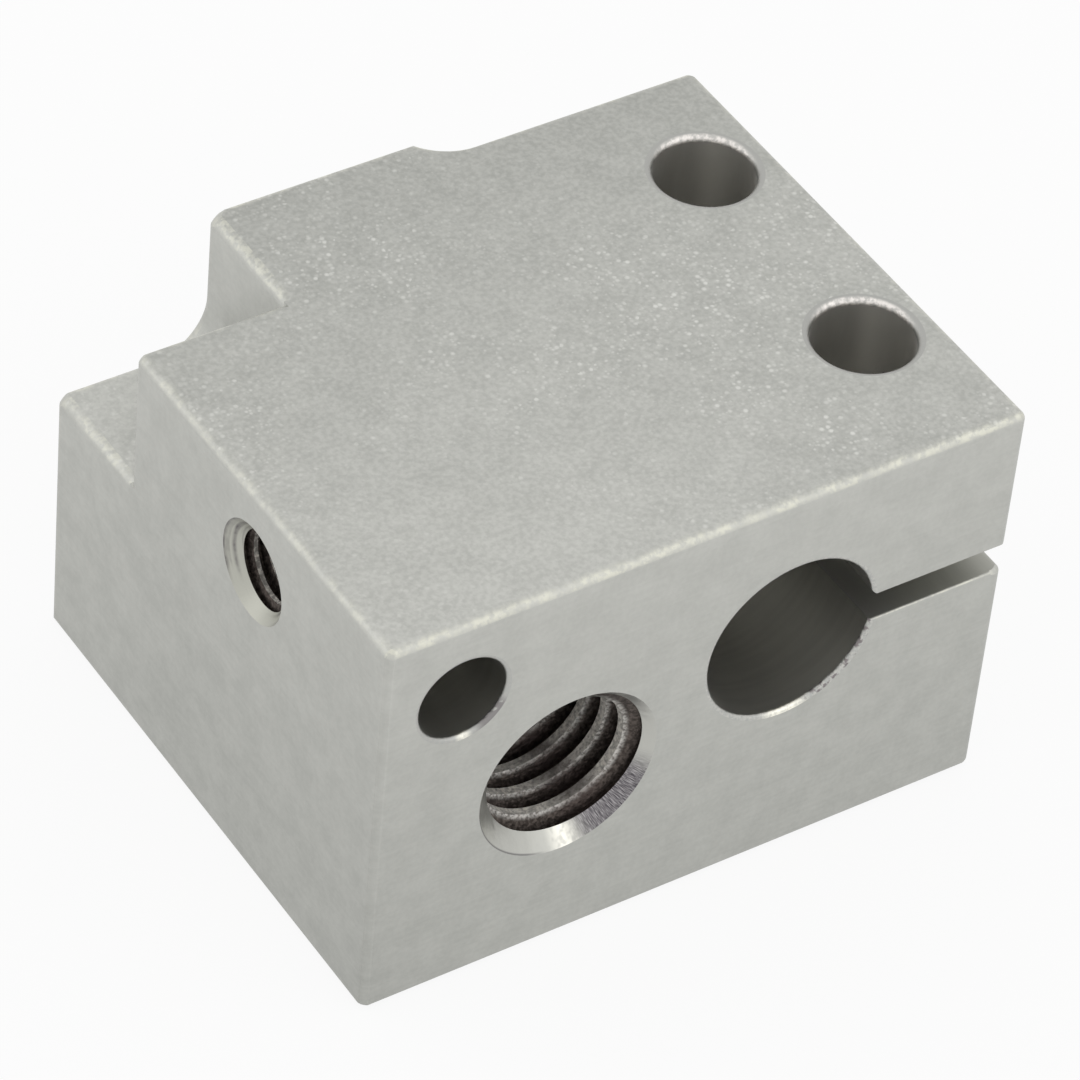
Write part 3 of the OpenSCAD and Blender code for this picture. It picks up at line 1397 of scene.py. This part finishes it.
@dataclass(frozen=True)
class BlastedFinish(MetalFinish):
    """The bead-blasted skin: painted glints from above, painted light and shade over the block, satin
    with a faint lay on the upright faces.
    """

    colour: Colour = (0.34, 0.345, 0.322)
    light: Colour = (0.72, 0.72, 0.68)
    # The colour of the painted glint highlights
    painted_glint_colour: Colour = (0.8, 0.8, 0.76)
    # How squarely a face has to look a way to count as facing it
    faced: Ramp = Ramp(0.5, 0.95)
    # The pits' size in millimetres, the share of them that glints, how bright and how much glossier
    pit_size: float = 0.2
    share: float = 0.5
    glint: float = 0.66
    glint_gloss: float = 0.2
    # The patches in which it glints more or less
    patch: Grain = Grain(0.16)
    patch_glint: Ramp = Ramp(0.38, 0.62, 0.3, 1.0)
    # Spots of the top around which it glints less, and the share that is left, by the distance
    calm: tuple[Place, ...] = ((-8.0, -7.5, 15.3), (9.0, 8.0, 15.3))
    calm_glint: Ramp = Ramp(3.5, 8.5, 0.3, 1.0)
    # The lay of the upright faces
    lay: Grain = Grain(1.0, 3.0, (0.25, 0.25, 9.0))
    # The tone of upright and of flat faces, and how far the mottle, the lay and the grain move it
    tone: Point = (0.42, 0.38)
    mottle: float = 0.05
    lay_tone: float = 0.02
    grain: float = 0.09
    # The share of the grain in the tone and in the height on upright and on flat faces, and the lay's
    grain_tone: Point = (0.35, 1.0)
    grain_height: Point = (0.2, 1.0)
    lay_height: float = 0.1
    relief: Relief = Relief(0.02, 0.5)
    # The block's middle, from which the painted light and shade drift
    middle: Place = (0.0, 0.0, 7.65)
    # By the height above the middle in millimetres, on flat faces: the painted shade, a change of tone
    # for each millimetre towards the back, and the painted light that is the shelf's own gain
    shade_to_back: Ramp = Ramp(3.0, 6.0, 0.0, -0.013)
    shelf_painted_light: Ramp = Ramp(3.0, 6.0, 0.12, 0.0)
    # Where that change holds, along X and along Y
    risen_x: Ramp = Ramp(8.0, -4.0)
    risen_y: Ramp = Ramp(-1.0, 1.0)
    # Painted shade: gain of tone for each millimetre up the sides, so that they darken towards the base
    sides_painted_shade: float = 0.017
    # Painted shade: how much darker the faces are that look left, and where they are, along X and along
    # Y
    left: float = 0.075
    left_x: Ramp = Ramp(-10.0, -8.0)
    left_y: Ramp = Ramp(9.0, 1.0)

    def wire(self, graph: Graph) -> dict[str, Socket]:
        """Makes the blasted skin.

        Args:
            graph: The material's graph.

        Returns:
            Its colour, its roughness and its normal.
        """
        at = graph.millimetres()
        up = graph.ramp(graph.facing(UPWARDS), self.faced)
        blast = BeadBlast.place(graph, {"Vector": at, "Pit size": self.pit_size, "Share": self.share})
        patches = graph.ramp(graph.noise(at, self.patch), self.patch_glint)
        # Painted highlight: the glints mix a bright colour into the base colour on faces that look up
        glint = graph.math("MULTIPLY", blast["Glint"], up, patches, self.glint)
        for spot in self.calm:
            away = graph.vector("DISTANCE", at, spot).outputs["Value"]
            glint = graph.math("MULTIPLY", glint, graph.ramp(away, self.calm_glint))
        lay = graph.noise(at, self.lay)
        grain = graph.math(
            "MULTIPLY", graph.sway(blast["Grain"], self.grain), graph.pick(up, *self.grain_tone)
        )
        # The tone takes in painted light and shade over the block, beside the mottle, the grain and the
        # lay
        tone = graph.math(
            "ADD",
            graph.sway(blast["Mottle"], self.mottle),
            grain,
            graph.sway(lay, self.lay_tone),
            self.painted_shading(graph, at, up),
            graph.pick(up, *self.tone),
        )
        height = graph.math(
            "ADD",
            graph.math("MULTIPLY", blast["Grain"], graph.pick(up, *self.grain_height)),
            graph.math("MULTIPLY", lay, self.lay_height),
        )
        gloss = graph.math("MULTIPLY", glint, self.glint_gloss)
        return {
            "Base Color": graph.mix(glint, graph.mix(tone, self.colour, self.light), self.painted_glint_colour),
            "Roughness": graph.math("SUBTRACT", self.roughness, gloss),
            "Normal": graph.bump(height, self.relief),
        }

    def painted_shading(self, graph: Graph, at: Socket, up: Socket) -> Socket:
        """Paints the slow change of light and shade over the block.

        Args:
            graph: The material's graph.
            at: Where the surface lies, in millimetres.
            up: 1 on the faces that lie flat, 0 on the upright ones.

        Returns:
            How much lighter the painted light and shade leave the skin here than in the block's middle.
        """
        x, y, z = graph.axes(graph.vector("SUBTRACT", at, self.middle).outputs[0])
        kept = graph.math("MAXIMUM", graph.ramp(x, self.risen_x), graph.ramp(y, self.risen_y))
        level = graph.math("MULTIPLY", up, graph.ramp(z, self.shade_to_back), kept)
        sides = graph.math("MULTIPLY", z, graph.pick(up, self.sides_painted_shade, 0.0))
        shelf = graph.math("MULTIPLY", up, graph.ramp(z, self.shelf_painted_light))
        faced = graph.ramp(graph.facing(LEFTWARDS), self.faced)
        there = graph.math("MAXIMUM", graph.ramp(y, self.left_y), graph.ramp(x, self.left_x))
        left = graph.math("MULTIPLY", faced, there, -self.left)
        tilt = graph.math("MULTIPLY", y, level)
        return graph.math("ADD", tilt, graph.math("ADD", sides, left), shelf)


@dataclass(frozen=True)
class EdgeFinish(BlastedFinish):
    """A broken edge: the blasted skin, with a painted highlight above in a line that comes and goes,
    and painted shade below.
    """

    # Colours of the painted highlight and of the painted shade below
    painted_highlight: Colour = (0.7, 0.695, 0.61)
    dull: Colour = (0.2, 0.2, 0.19)
    # The noises along the edge and in its grain, and the range of them in which the painted highlight
    # comes up
    highlight_breaks: Grain = Grain(1.3, 6.0)
    highlight_grain: Grain = Grain(5.0, 3.0)
    onset: Point = (0.38, 0.6)
    # Least and most of the painted highlight along the edge, and of the grain in it
    highlight_share: Point = (0.3, 1.0)
    speckle: Point = (0.3, 1.0)
    # How far up the surface faces where it has the painted highlight, and where it is darkened with
    # painted shade
    band: Point = (0.4, 0.93)
    band_blur: float = 0.13
    below: Ramp = Ramp(-0.3, -0.8, 0.0, 0.8)

    def wire(self, graph: Graph) -> dict[str, Socket]:
        """Paints the highlight and the shade on the blasted skin.

        Args:
            graph: The material's graph.

        Returns:
            Its colour, and the roughness and the normal of the skin.
        """
        fed = super().wire(graph)
        at = graph.millimetres()
        height = graph.facing(UPWARDS)
        broken = graph.ramp(graph.noise(at, self.highlight_breaks), Ramp(*self.onset, *self.highlight_share))
        speckle = graph.ramp(graph.noise(at, self.highlight_grain), Ramp(*self.onset, *self.speckle))
        band = graph.between(height, Zone(*self.band, self.band_blur))
        # Painted highlight on the part of the rounding that faces up
        painted_shine = graph.math("MULTIPLY", band, graph.math("MULTIPLY", broken, speckle))
        skin = graph.mix(painted_shine, fed["Base Color"], self.painted_highlight)
        # Painted shade: the part of the edge that faces down is darkened
        fed["Base Color"] = graph.mix(graph.ramp(height, self.below), skin, self.dull)
        return fed


@dataclass(frozen=True)
class DrilledFinish(MetalFinish):
    """The wall of a drilled or reamed hole, with faint marks along the way that the tool turned."""

    colour: Colour = (0.51, 0.505, 0.475)
    light: Colour = (0.55, 0.545, 0.51)
    roughness: float = 0.42
    marks: Grain = Grain(1.0, 3.0, (0.3, 4.0, 0.3))
    relief: Relief = Relief(0.006, 0.3)

    def wire(self, graph: Graph) -> dict[str, Socket]:
        """Makes the wall.

        Args:
            graph: The material's graph.

        Returns:
            Its colour and its normal.
        """
        mark = graph.noise(graph.millimetres(), self.marks)
        wall = graph.mix(graph.ramp(mark, NOISE), self.colour, self.light)
        return {"Base Color": wall, "Normal": graph.bump(mark, self.relief)}


@dataclass(frozen=True)
class ScrewHoleFinish(DrilledFinish):
    """The wall of a screw hole, with a painted streak of light down one side."""

    colour: Colour = (0.66, 0.65, 0.62)
    light: Colour = (0.72, 0.71, 0.68)
    marks: Grain = Grain(1.0, 3.0, (1.6, 1.6, 0.3))
    light_streak: Colour = (0.93, 0.91, 0.86)
    # Where the painted light streak lies, along X in millimetres
    light_streak_x: Zone = Zone(9.9, 10.5, 0.5)

    def wire(self, graph: Graph) -> dict[str, Socket]:
        """Makes the wall with its painted light streak.

        Args:
            graph: The material's graph.

        Returns:
            Its colour and its normal.
        """
        fed = super().wire(graph)
        x = graph.axes(graph.millimetres())[0]
        lit = graph.between(x, self.light_streak_x)
        fed["Base Color"] = graph.mix(lit, fed["Base Color"], self.light_streak)
        return fed


@dataclass(frozen=True)
class SlitFinish(MetalFinish):
    """The sawn faces of the slit, with painted shade that darkens them towards the bore."""

    colour: Colour = (0.36, 0.355, 0.335)
    light: Colour = (0.42, 0.42, 0.38)
    # Painted shade: where the slit goes from its darker end at the bore to its lighter one, along X in
    # millimetres
    painted_shade_ramp: Ramp = Ramp(6.2, 9.0)
    # The saw's marks, and the share of the lighter tone that they leave
    marks: Grain = Grain(1.0, 3.0, (3.0, 0.4, 6.0))
    marked: Ramp = Ramp(0.3, 0.7, 0.8, 1.0)
    relief: Relief = Relief(0.02, 0.4)

    def wire(self, graph: Graph) -> dict[str, Socket]:
        """Makes the sawn faces.

        Args:
            graph: The material's graph.

        Returns:
            Their colour and their normal.
        """
        at = graph.millimetres()
        x = graph.axes(at)[0]
        mark = graph.noise(at, self.marks)
        shade = graph.math("MULTIPLY", graph.ramp(x, self.painted_shade_ramp), graph.ramp(mark, self.marked))
        return {
            "Base Color": graph.mix(shade, self.colour, self.light),
            "Normal": graph.bump(mark, self.relief),
        }


@dataclass(frozen=True)
class RimFinish(MetalFinish):
    """The broken rim of a hole along Y, with nicks on one side of it and a painted highlight at its
    bottom.
    """

    colour: Colour = (0.445, 0.45, 0.43)
    light: Colour = (0.56, 0.555, 0.52)
    roughness: float = 0.36
    # The hole's axis, and the angles about it between which the rim is nicked, and on the sensor rim
    # mostly darkened with painted shade, in degrees
    axis: Place = (3.4, 0.0, 9.3)
    nick_and_shade_zone: Zone = Zone(-72.0, 8.0, 8.0)
    # The nicks' noise, the range of it in which a nick comes up, their colour and how strong it is;
    # on the sensor rim they nearly fill the zone as painted shade
    nicks: Grain = Grain(5.5, 4.0)
    nick_onset: Ramp = Ramp(0.5, 0.6)
    nick_and_shade_colour: Colour = (0.2, 0.175, 0.18)
    nick_share: float = 0.85
    # The painted highlight at the bottom of the hole: where it lies and its colour
    shining: Zone = Zone(-101.0, -76.0, 7.0)
    painted_shine: Colour = (0.95, 0.93, 0.82)
    # The burrs, how they set the tone and break up the painted highlight, and their height out of the
    # nicked part
    burr: Grain = Grain(9.0, 4.0)
    burr_tone: Ramp = Ramp(0.35, 0.65)
    burr_shine: Ramp = Ramp(0.3, 0.6, 0.5, 1.0)
    burr_height: float = 0.3
    relief: Relief = Relief(0.06, 0.6)

    def wire(self, graph: Graph) -> dict[str, Socket]:
        """Makes the rim.

        Args:
            graph: The material's graph.

        Returns:
            Its colour and its normal.
        """
        at = graph.millimetres()
        angle = AroundAxis.place(graph, {"Vector": at, "Axis": self.axis})["Angle"]
        zone = graph.between(angle, self.nick_and_shade_zone)
        burrs = graph.noise(at, self.burr)
        nicks = graph.ramp(graph.noise(at, self.nicks), self.nick_onset)
        bright = graph.math(
            "MULTIPLY", graph.between(angle, self.shining), graph.ramp(burrs, self.burr_shine)
        )
        skin = graph.mix(graph.ramp(burrs, self.burr_tone), self.colour, self.light)
        skin = graph.mix(bright, skin, self.painted_shine)
        darkening_share = graph.math("MULTIPLY", nicks, zone, self.nick_share)
        height = graph.math("MULTIPLY", burrs, graph.pick(zone, self.burr_height, 1.0))
        return {
            "Base Color": graph.mix(darkening_share, skin, self.nick_and_shade_colour),
            "Normal": graph.bump(height, self.relief),
        }


@dataclass(frozen=True)
class ScrewRimFinish(MetalFinish):
    """The rim of a screw hole, with painted light on the side that faces one way."""

    colour: Colour = (0.42, 0.42, 0.4)
    light: Colour = (0.88, 0.84, 0.8)
    roughness: float = 0.45
    # Painted light: the way that the lighter side faces, and how squarely it has to
    towards: Place = (-0.5, -0.86, 0.0)
    faced: Ramp = Ramp(0.2, 0.6)
    grain: Grain = Grain(6.0, 3.0)
    grain_tone: Ramp = Ramp(0.35, 0.62, 0.3, 1.0)
    relief: Relief = Relief(0.03, 0.5)

    def wire(self, graph: Graph) -> dict[str, Socket]:
        """Makes the rim.

        Args:
            graph: The material's graph.

        Returns:
            Its colour and its normal.
        """
        grain = graph.noise(graph.millimetres(), self.grain)
        faced = graph.ramp(graph.facing(self.towards), self.faced)
        painted_light_side = graph.math("MULTIPLY", faced, graph.ramp(grain, self.grain_tone))
        return {
            "Base Color": graph.mix(painted_light_side, self.colour, self.light),
            "Normal": graph.bump(grain, self.relief),
        }


@dataclass(frozen=True)
class TurnedFinish(MetalFinish):
    """A cone about an axis along X that the tool left with rings, which fade to the light tone where
    the cone faces up: painted light on its lower part.
    """

    colour: Colour = (0.13, 0.12, 0.125)
    light: Colour = (0.46, 0.46, 0.41)
    roughness: float = 0.42
    # The fine rings, and how dark they are
    rings: Grain = Grain(1.0, 2.0, (9.0, 0.6, 0.6))
    ring_tone: Ramp = Ramp(0.5, 0.36, 0.0, 0.35)
    # Where the deep ring lies, and the dark line at the rim, along X in millimetres
    ring: Zone = Zone(-11.33, -11.27, 0.05)
    rim: Ramp = Ramp(-11.53, -11.47, 0.5, 0.0)
    # Painted light: how far up the cone faces where its rings fade out to the light tone, and the noise
    # that breaks that up
    darkening_share: Ramp = Ramp(0.62, 0.25)
    darkening_noise: Grain = Grain(2.5)
    darkening_noise_tone: Ramp = Ramp(0.35, 0.6, 0.6, 1.0)
    relief: Relief = Relief(0.03, 0.5)

    def wire(self, graph: Graph) -> dict[str, Socket]:
        """Makes the cone.

        Args:
            graph: The material's graph.

        Returns:
            Its colour and its normal.
        """
        at = graph.millimetres()
        x = graph.axes(at)[0]
        rings = graph.noise(at, self.rings)
        darkening_noise = graph.ramp(graph.noise(at, self.darkening_noise), self.darkening_noise_tone)
        darkening_share = graph.math("MULTIPLY", graph.ramp(graph.facing(UPWARDS), self.darkening_share), darkening_noise)
        deep = graph.math(
            "ADD",
            graph.between(x, self.ring),
            graph.ramp(rings, self.ring_tone),
            graph.ramp(x, self.rim),
        )
        dark = graph.math("MULTIPLY", graph.math("MINIMUM", deep, 1.0), darkening_share)
        return {
            "Base Color": graph.mix(dark, self.light, self.colour),
            "Normal": graph.bump(rings, self.relief),
        }


@dataclass(frozen=True)
class SinkFinish(MetalFinish):
    """The countersink of the nozzle thread: smooth, with radial chatter where the tool rattled and a
    painted highlight beside it.
    """

    colour: Colour = (0.5, 0.5, 0.465)
    light: Colour = (0.42, 0.4, 0.41)
    roughness: float = 0.36
    # The hole's axis, and the angles about it between which the tool rattled most, in degrees
    axis: Place = (-4.6, 0.0, 7.15)
    chatter: Zone = Zone(-76.0, -18.0, 12.0)
    chatter_share: float = 0.9
    # The chatter's waves to a degree and to a millimetre of the radius, its noise and its dark tone
    waves: Point = (2.5, 4.5)
    rattle: Grain = Grain(1.0, 4.0)
    rattle_tone: Ramp = Ramp(0.42, 0.66)
    dark: Colour = (0.05, 0.042, 0.055)
    # The painted highlight beside the chatter, and the noise that breaks it up
    shining: Zone = Zone(-92.0, -80.0, 8.0)
    painted_shine: Colour = (0.95, 0.93, 0.84)
    shine_noise: Grain = Grain(5.0, 1.0)
    shine_tone: Ramp = Ramp(0.3, 0.6, 0.4, 1.0)
    # Where the dark line along the rim starts, by the radius, and the angles over which it comes up
    rim_line: Ramp = Ramp(3.14, 3.18)
    rim_angles: Ramp = Ramp(-95.0, -115.0, 0.0, 0.6)
    waviness: Grain = Grain(3.0)
    relief: Relief = Relief(0.03, 0.5)

    def wire(self, graph: Graph) -> dict[str, Socket]:
        """Makes the countersink.

        Args:
            graph: The material's graph.

        Returns:
            Its colour and its normal.
        """
        at = graph.millimetres()
        around = AroundAxis.place(graph, {"Vector": at, "Axis": self.axis})
        angle, radius = around["Angle"], around["Radius"]
        zone = graph.between(angle, self.chatter)
        polar = [graph.math("MULTIPLY", *pair) for pair in zip((angle, radius), self.waves)]
        polar = graph.add("ShaderNodeCombineXYZ", dict(enumerate(polar))).outputs[0]
        rattle = graph.noise(polar, self.rattle)
        marks = graph.mix(graph.ramp(rattle, self.rattle_tone), self.dark, self.light)
        cone = graph.mix(graph.math("MULTIPLY", zone, self.chatter_share), self.colour, marks)
        # Painted highlight near the bottom of the countersink
        broken = graph.ramp(graph.noise(at, self.shine_noise), self.shine_tone)
        glint = graph.math("MULTIPLY", graph.between(angle, self.shining), broken)
        cone = graph.mix(glint, cone, self.painted_shine)
        line = graph.math(
            "MULTIPLY", graph.ramp(radius, self.rim_line), graph.ramp(angle, self.rim_angles)
        )
        height = graph.math(
            "ADD", graph.math("MULTIPLY", zone, rattle), graph.noise(at, self.waviness)
        )
        return {
            "Base Color": graph.mix(line, cone, self.dark),
            "Normal": graph.bump(height, self.relief),
        }


@dataclass(frozen=True)
class ThreadFinish(MetalFinish):
    """A tapped surface, torn a little along the cut, with a painted highlight at the nozzle thread's
    crests.
    """

    # The tears, and how they set the tone
    torn: Grain = Grain(7.0, 4.0)
    torn_tone: Ramp = Ramp(0.38, 0.66)
    relief: Relief = Relief(0.05, 0.7)
    # The nozzle thread's axis, the painted highlight by the distance from that, and the noise in it
    axis: Place = (-4.6, 0.0, 7.15)
    painted_crest_highlight: Colour = (0.95, 0.93, 0.88)
    crest_tone: Ramp = Ramp(2.52, 2.7, 0.55, 0.0)
    sparkle: Grain = Grain(9.0, 3.0)
    sparkle_tone: Ramp = Ramp(0.36, 0.6, 0.25, 1.0)
    # Angles about it between which the thread is dull, in degrees, and the stain there
    dull: Zone = Zone(-78.0, -50.0, 16.0)
    stain: Colour = (0.1, 0.075, 0.07)
    blotch: Grain = Grain(2.0)
    blotch_tone: Ramp = Ramp(0.3, 0.6, 0.42, 0.7)

    def wire(self, graph: Graph) -> dict[str, Socket]:
        """Makes the tapped surface.

        Args:
            graph: The material's graph.

        Returns:
            Its colour and its normal.
        """
        at = graph.millimetres()
        torn = graph.noise(at, self.torn)
        skin = graph.mix(graph.ramp(torn, self.torn_tone), self.colour, self.light)
        around = AroundAxis.place(graph, {"Vector": at, "Axis": self.axis})
        sparkle = graph.ramp(graph.noise(at, self.sparkle), self.sparkle_tone)
        bright = graph.math("MULTIPLY", graph.ramp(around["Radius"], self.crest_tone), sparkle)
        blotch = graph.ramp(graph.noise(at, self.blotch), self.blotch_tone)
        dull = graph.math("MULTIPLY", graph.between(around["Angle"], self.dull), blotch)
        return {
            "Base Color": graph.mix(dull, graph.mix(bright, skin, self.painted_crest_highlight), self.stain),
            "Normal": graph.bump(torn, self.relief),
        }


def dress() -> dict[Finish, bpy.types.Material]:
    """Builds the block's materials.

    Returns:
        The material of each finish.
    """
    finishes: dict[Finish, MetalFinish] = {
        Finish.BLASTED: BlastedFinish(),
        Finish.EDGE: EdgeFinish(),
        Finish.SOFT_EDGE: EdgeFinish(highlight_share=(0.05, 0.5), band=(0.45, 0.95)),
        Finish.SPECKLED_EDGE_HIGHLIGHT: EdgeFinish(highlight_share=(0.1, 0.7), speckle=(0.1, 0.9), band=(0.5, 1.2)),
        Finish.HEATER_BORE: DrilledFinish(),
        Finish.SENSOR_BORE: DrilledFinish(colour=(0.48, 0.475, 0.44), light=(0.51, 0.505, 0.47)),
        Finish.SCREW_HOLE: ScrewHoleFinish(),
        Finish.HEATER_RIM: RimFinish(),
        # The sensor rim's nicked zone is mostly a band of painted shade over its chamfer, with a few
        # nicks
        Finish.SENSOR_RIM: RimFinish(
            light=(0.48, 0.475, 0.45),
            axis=(-8.75, 0.0, 12.25),
            nick_and_shade_zone=Zone(-66.0, -24.0, 8.0),
            nick_onset=Ramp(0.3, 0.4),
            nick_and_shade_colour=(0.24, 0.225, 0.225),
            shining=Zone(-92.0, -80.0, 7.0),
        ),
        Finish.SCREW_RIM: ScrewRimFinish(),
        Finish.NOZZLE_SINK: SinkFinish(),
        Finish.SET_SINK: TurnedFinish(),
        Finish.CREST: ThreadFinish((0.42, 0.4, 0.375), (0.9, 0.87, 0.82), 0.8),
        # The grooves' near-black tones are painted shade in the thread's roots
        Finish.THREAD: ThreadFinish((0.06, 0.05, 0.044), (0.14, 0.118, 0.105), 0.45),
        Finish.SLIT: SlitFinish(),
    }
    return {finish: maker.build(finish) for finish, maker in finishes.items()}


@dataclass(frozen=True)
class PhotoCamera:
    """The camera of the photograph. Lengths are in millimetres, angles in degrees."""

    azimuth: float = -35.924
    elevation: float = 42.499
    roll: float = 5.666
    distance: float = 190.73
    target: Place = (0.008, -0.040, 7.620)
    # Pixels of the photograph: its side, the focal length and the optical axis
    side: float = 1080.0
    focal: float = 5994.6
    axis_x: float = 524.3
    axis_y: float = 519.5
    # Width of the sensor
    sensor: float = 36.0
    # Nearest and furthest that it sees, in metres
    clip: Point = (0.01, 50.0)

    def place(self) -> None:
        """Adds the camera and makes it the scene's."""
        around, above, turn = (math.radians(a) for a in (self.azimuth, self.elevation, self.roll))
        back = Vector((
            math.sin(around) * math.cos(above),
            -math.cos(around) * math.cos(above),
            math.sin(above),
        ))
        level = Vector(UPWARDS).cross(back).normalized()
        rise = back.cross(level)
        right = math.cos(turn) * level + math.sin(turn) * rise
        up = back.cross(right)
        lens = bpy.data.cameras.new("photo_camera")
        lens.sensor_width = self.sensor
        lens.lens = self.focal / self.side * self.sensor
        lens.shift_x = (self.side / 2 - self.axis_x) / self.side
        lens.shift_y = (self.axis_y - self.side / 2) / self.side
        lens.clip_start, lens.clip_end = self.clip
        place = Matrix((right, up, back)).transposed().to_4x4()
        place.translation = (Vector(self.target) + back * self.distance) * MM
        camera = add_object("photo_camera", lens)
        camera.matrix_world = place
        bpy.context.scene.camera = camera


@dataclass(frozen=True)
class Studio:
    """A pale floor under soft light. Lengths are in metres."""

    floor_side: float = 8.0
    floor_colour: Colour = (0.9, 0.9, 0.9)
    # Share of plain white in the floor that the camera and reflections see
    floor_white: float = 0.9
    # The sky's strength where it lights the block
    light_level: float = 0.8
    # The lamps: the way to each from the block, and their distance, side and power in watts
    lamps: tuple[tuple[str, Place], ...] = (
        ("key_lamp", (0.43, -0.68, 0.60)),
        ("rim_lamp", (-0.68, 0.60, 0.43)),
    )
    lamp_distance: float = 0.5
    lamp_side: float = 0.35
    lamp_power: float = 0.15

    def build(self) -> None:
        """Adds the sky, the lamps and the floor."""
        self._sky()
        for name, towards in self.lamps:
            self._lamp(name, Vector(towards).normalized())
        self._floor()

    @staticmethod
    def _seen(graph: Graph) -> Socket:
        """Tells the rays that show a surface from those that light one.

        Args:
            graph: The material's or the world's graph.

        Returns:
            1 for rays from the camera, a reflection or a pane, and 0 for the rest.
        """
        rays = graph.add("ShaderNodeLightPath").outputs
        names = ("Is Camera Ray", "Is Glossy Ray", "Is Transmission Ray")
        return graph.math("MAXIMUM", *(rays[name] for name in names))

    def _sky(self) -> None:
        """Makes the world white where it is seen, and plain soft light elsewhere."""
        world = bpy.data.worlds.new("soft_sky")
        world.use_nodes = True
        bpy.context.scene.world = world
        graph = Graph(world.node_tree)
        background = world.node_tree.nodes["Background"]
        graph.feed(background.inputs["Color"], WHITE)
        graph.feed(background.inputs["Strength"], graph.pick(self._seen(graph), self.light_level, 1.0))

    def _lamp(self, name: str, way: Vector) -> None:
        """Adds a soft square lamp that faces the block.

        Args:
            name: The lamp's name.
            way: The way to it from the block, of length 1.
        """
        light = bpy.data.lights.new(name, "AREA")
        light.size = self.lamp_side
        light.energy = self.lamp_power
        turn = way.to_track_quat("Z", "Y").to_matrix().to_4x4()
        lamp = add_object(name, light)
        lamp.matrix_world = Matrix.Translation(way * self.lamp_distance) @ turn

    def _floor(self) -> None:
        """Adds the floor, which shows nearly white where it is seen."""
        half = self.floor_side / 2
        corners = [(-half, -half, 0), (half, -half, 0), (half, half, 0), (-half, half, 0)]
        mesh = bpy.data.meshes.new("floor")
        mesh.from_pydata(corners, [], [(0, 1, 2, 3)])
        material = bpy.data.materials.new("pale_floor")
        material.use_nodes = True
        nodes = material.node_tree.nodes
        nodes.remove(nodes["Principled BSDF"])
        graph = Graph(material.node_tree)
        matt = graph.add("ShaderNodeBsdfDiffuse", {"Color": self.floor_colour}).outputs[0]
        white = graph.add("ShaderNodeEmission", {"Color": WHITE}).outputs[0]
        share = graph.math("MULTIPLY", self._seen(graph), self.floor_white)
        both = graph.add("ShaderNodeMixShader", {0: share, 1: matt, 2: white}).outputs[0]
        graph.feed(nodes["Material Output"].inputs["Surface"], both)
        mesh.materials.append(material)
        floor = add_object("floor", mesh)


def main() -> None:
    """Builds the scene and reports each piece."""
    logging.basicConfig(level=logging.INFO, format="%(name)s: %(message)s")
    bpy.context.scene.view_settings.view_transform = "Standard"
    PhotoCamera().place()
    Studio().build()
    block = HeaterBlock(BlockSizes.from_frame(), dress()).build()
    log.info("%s: %d faces, box %s mm", block.name, len(block.data.polygons),
             [round(v / MM, 3) for v in block.dimensions])


if __name__ == "__main__":
    main()
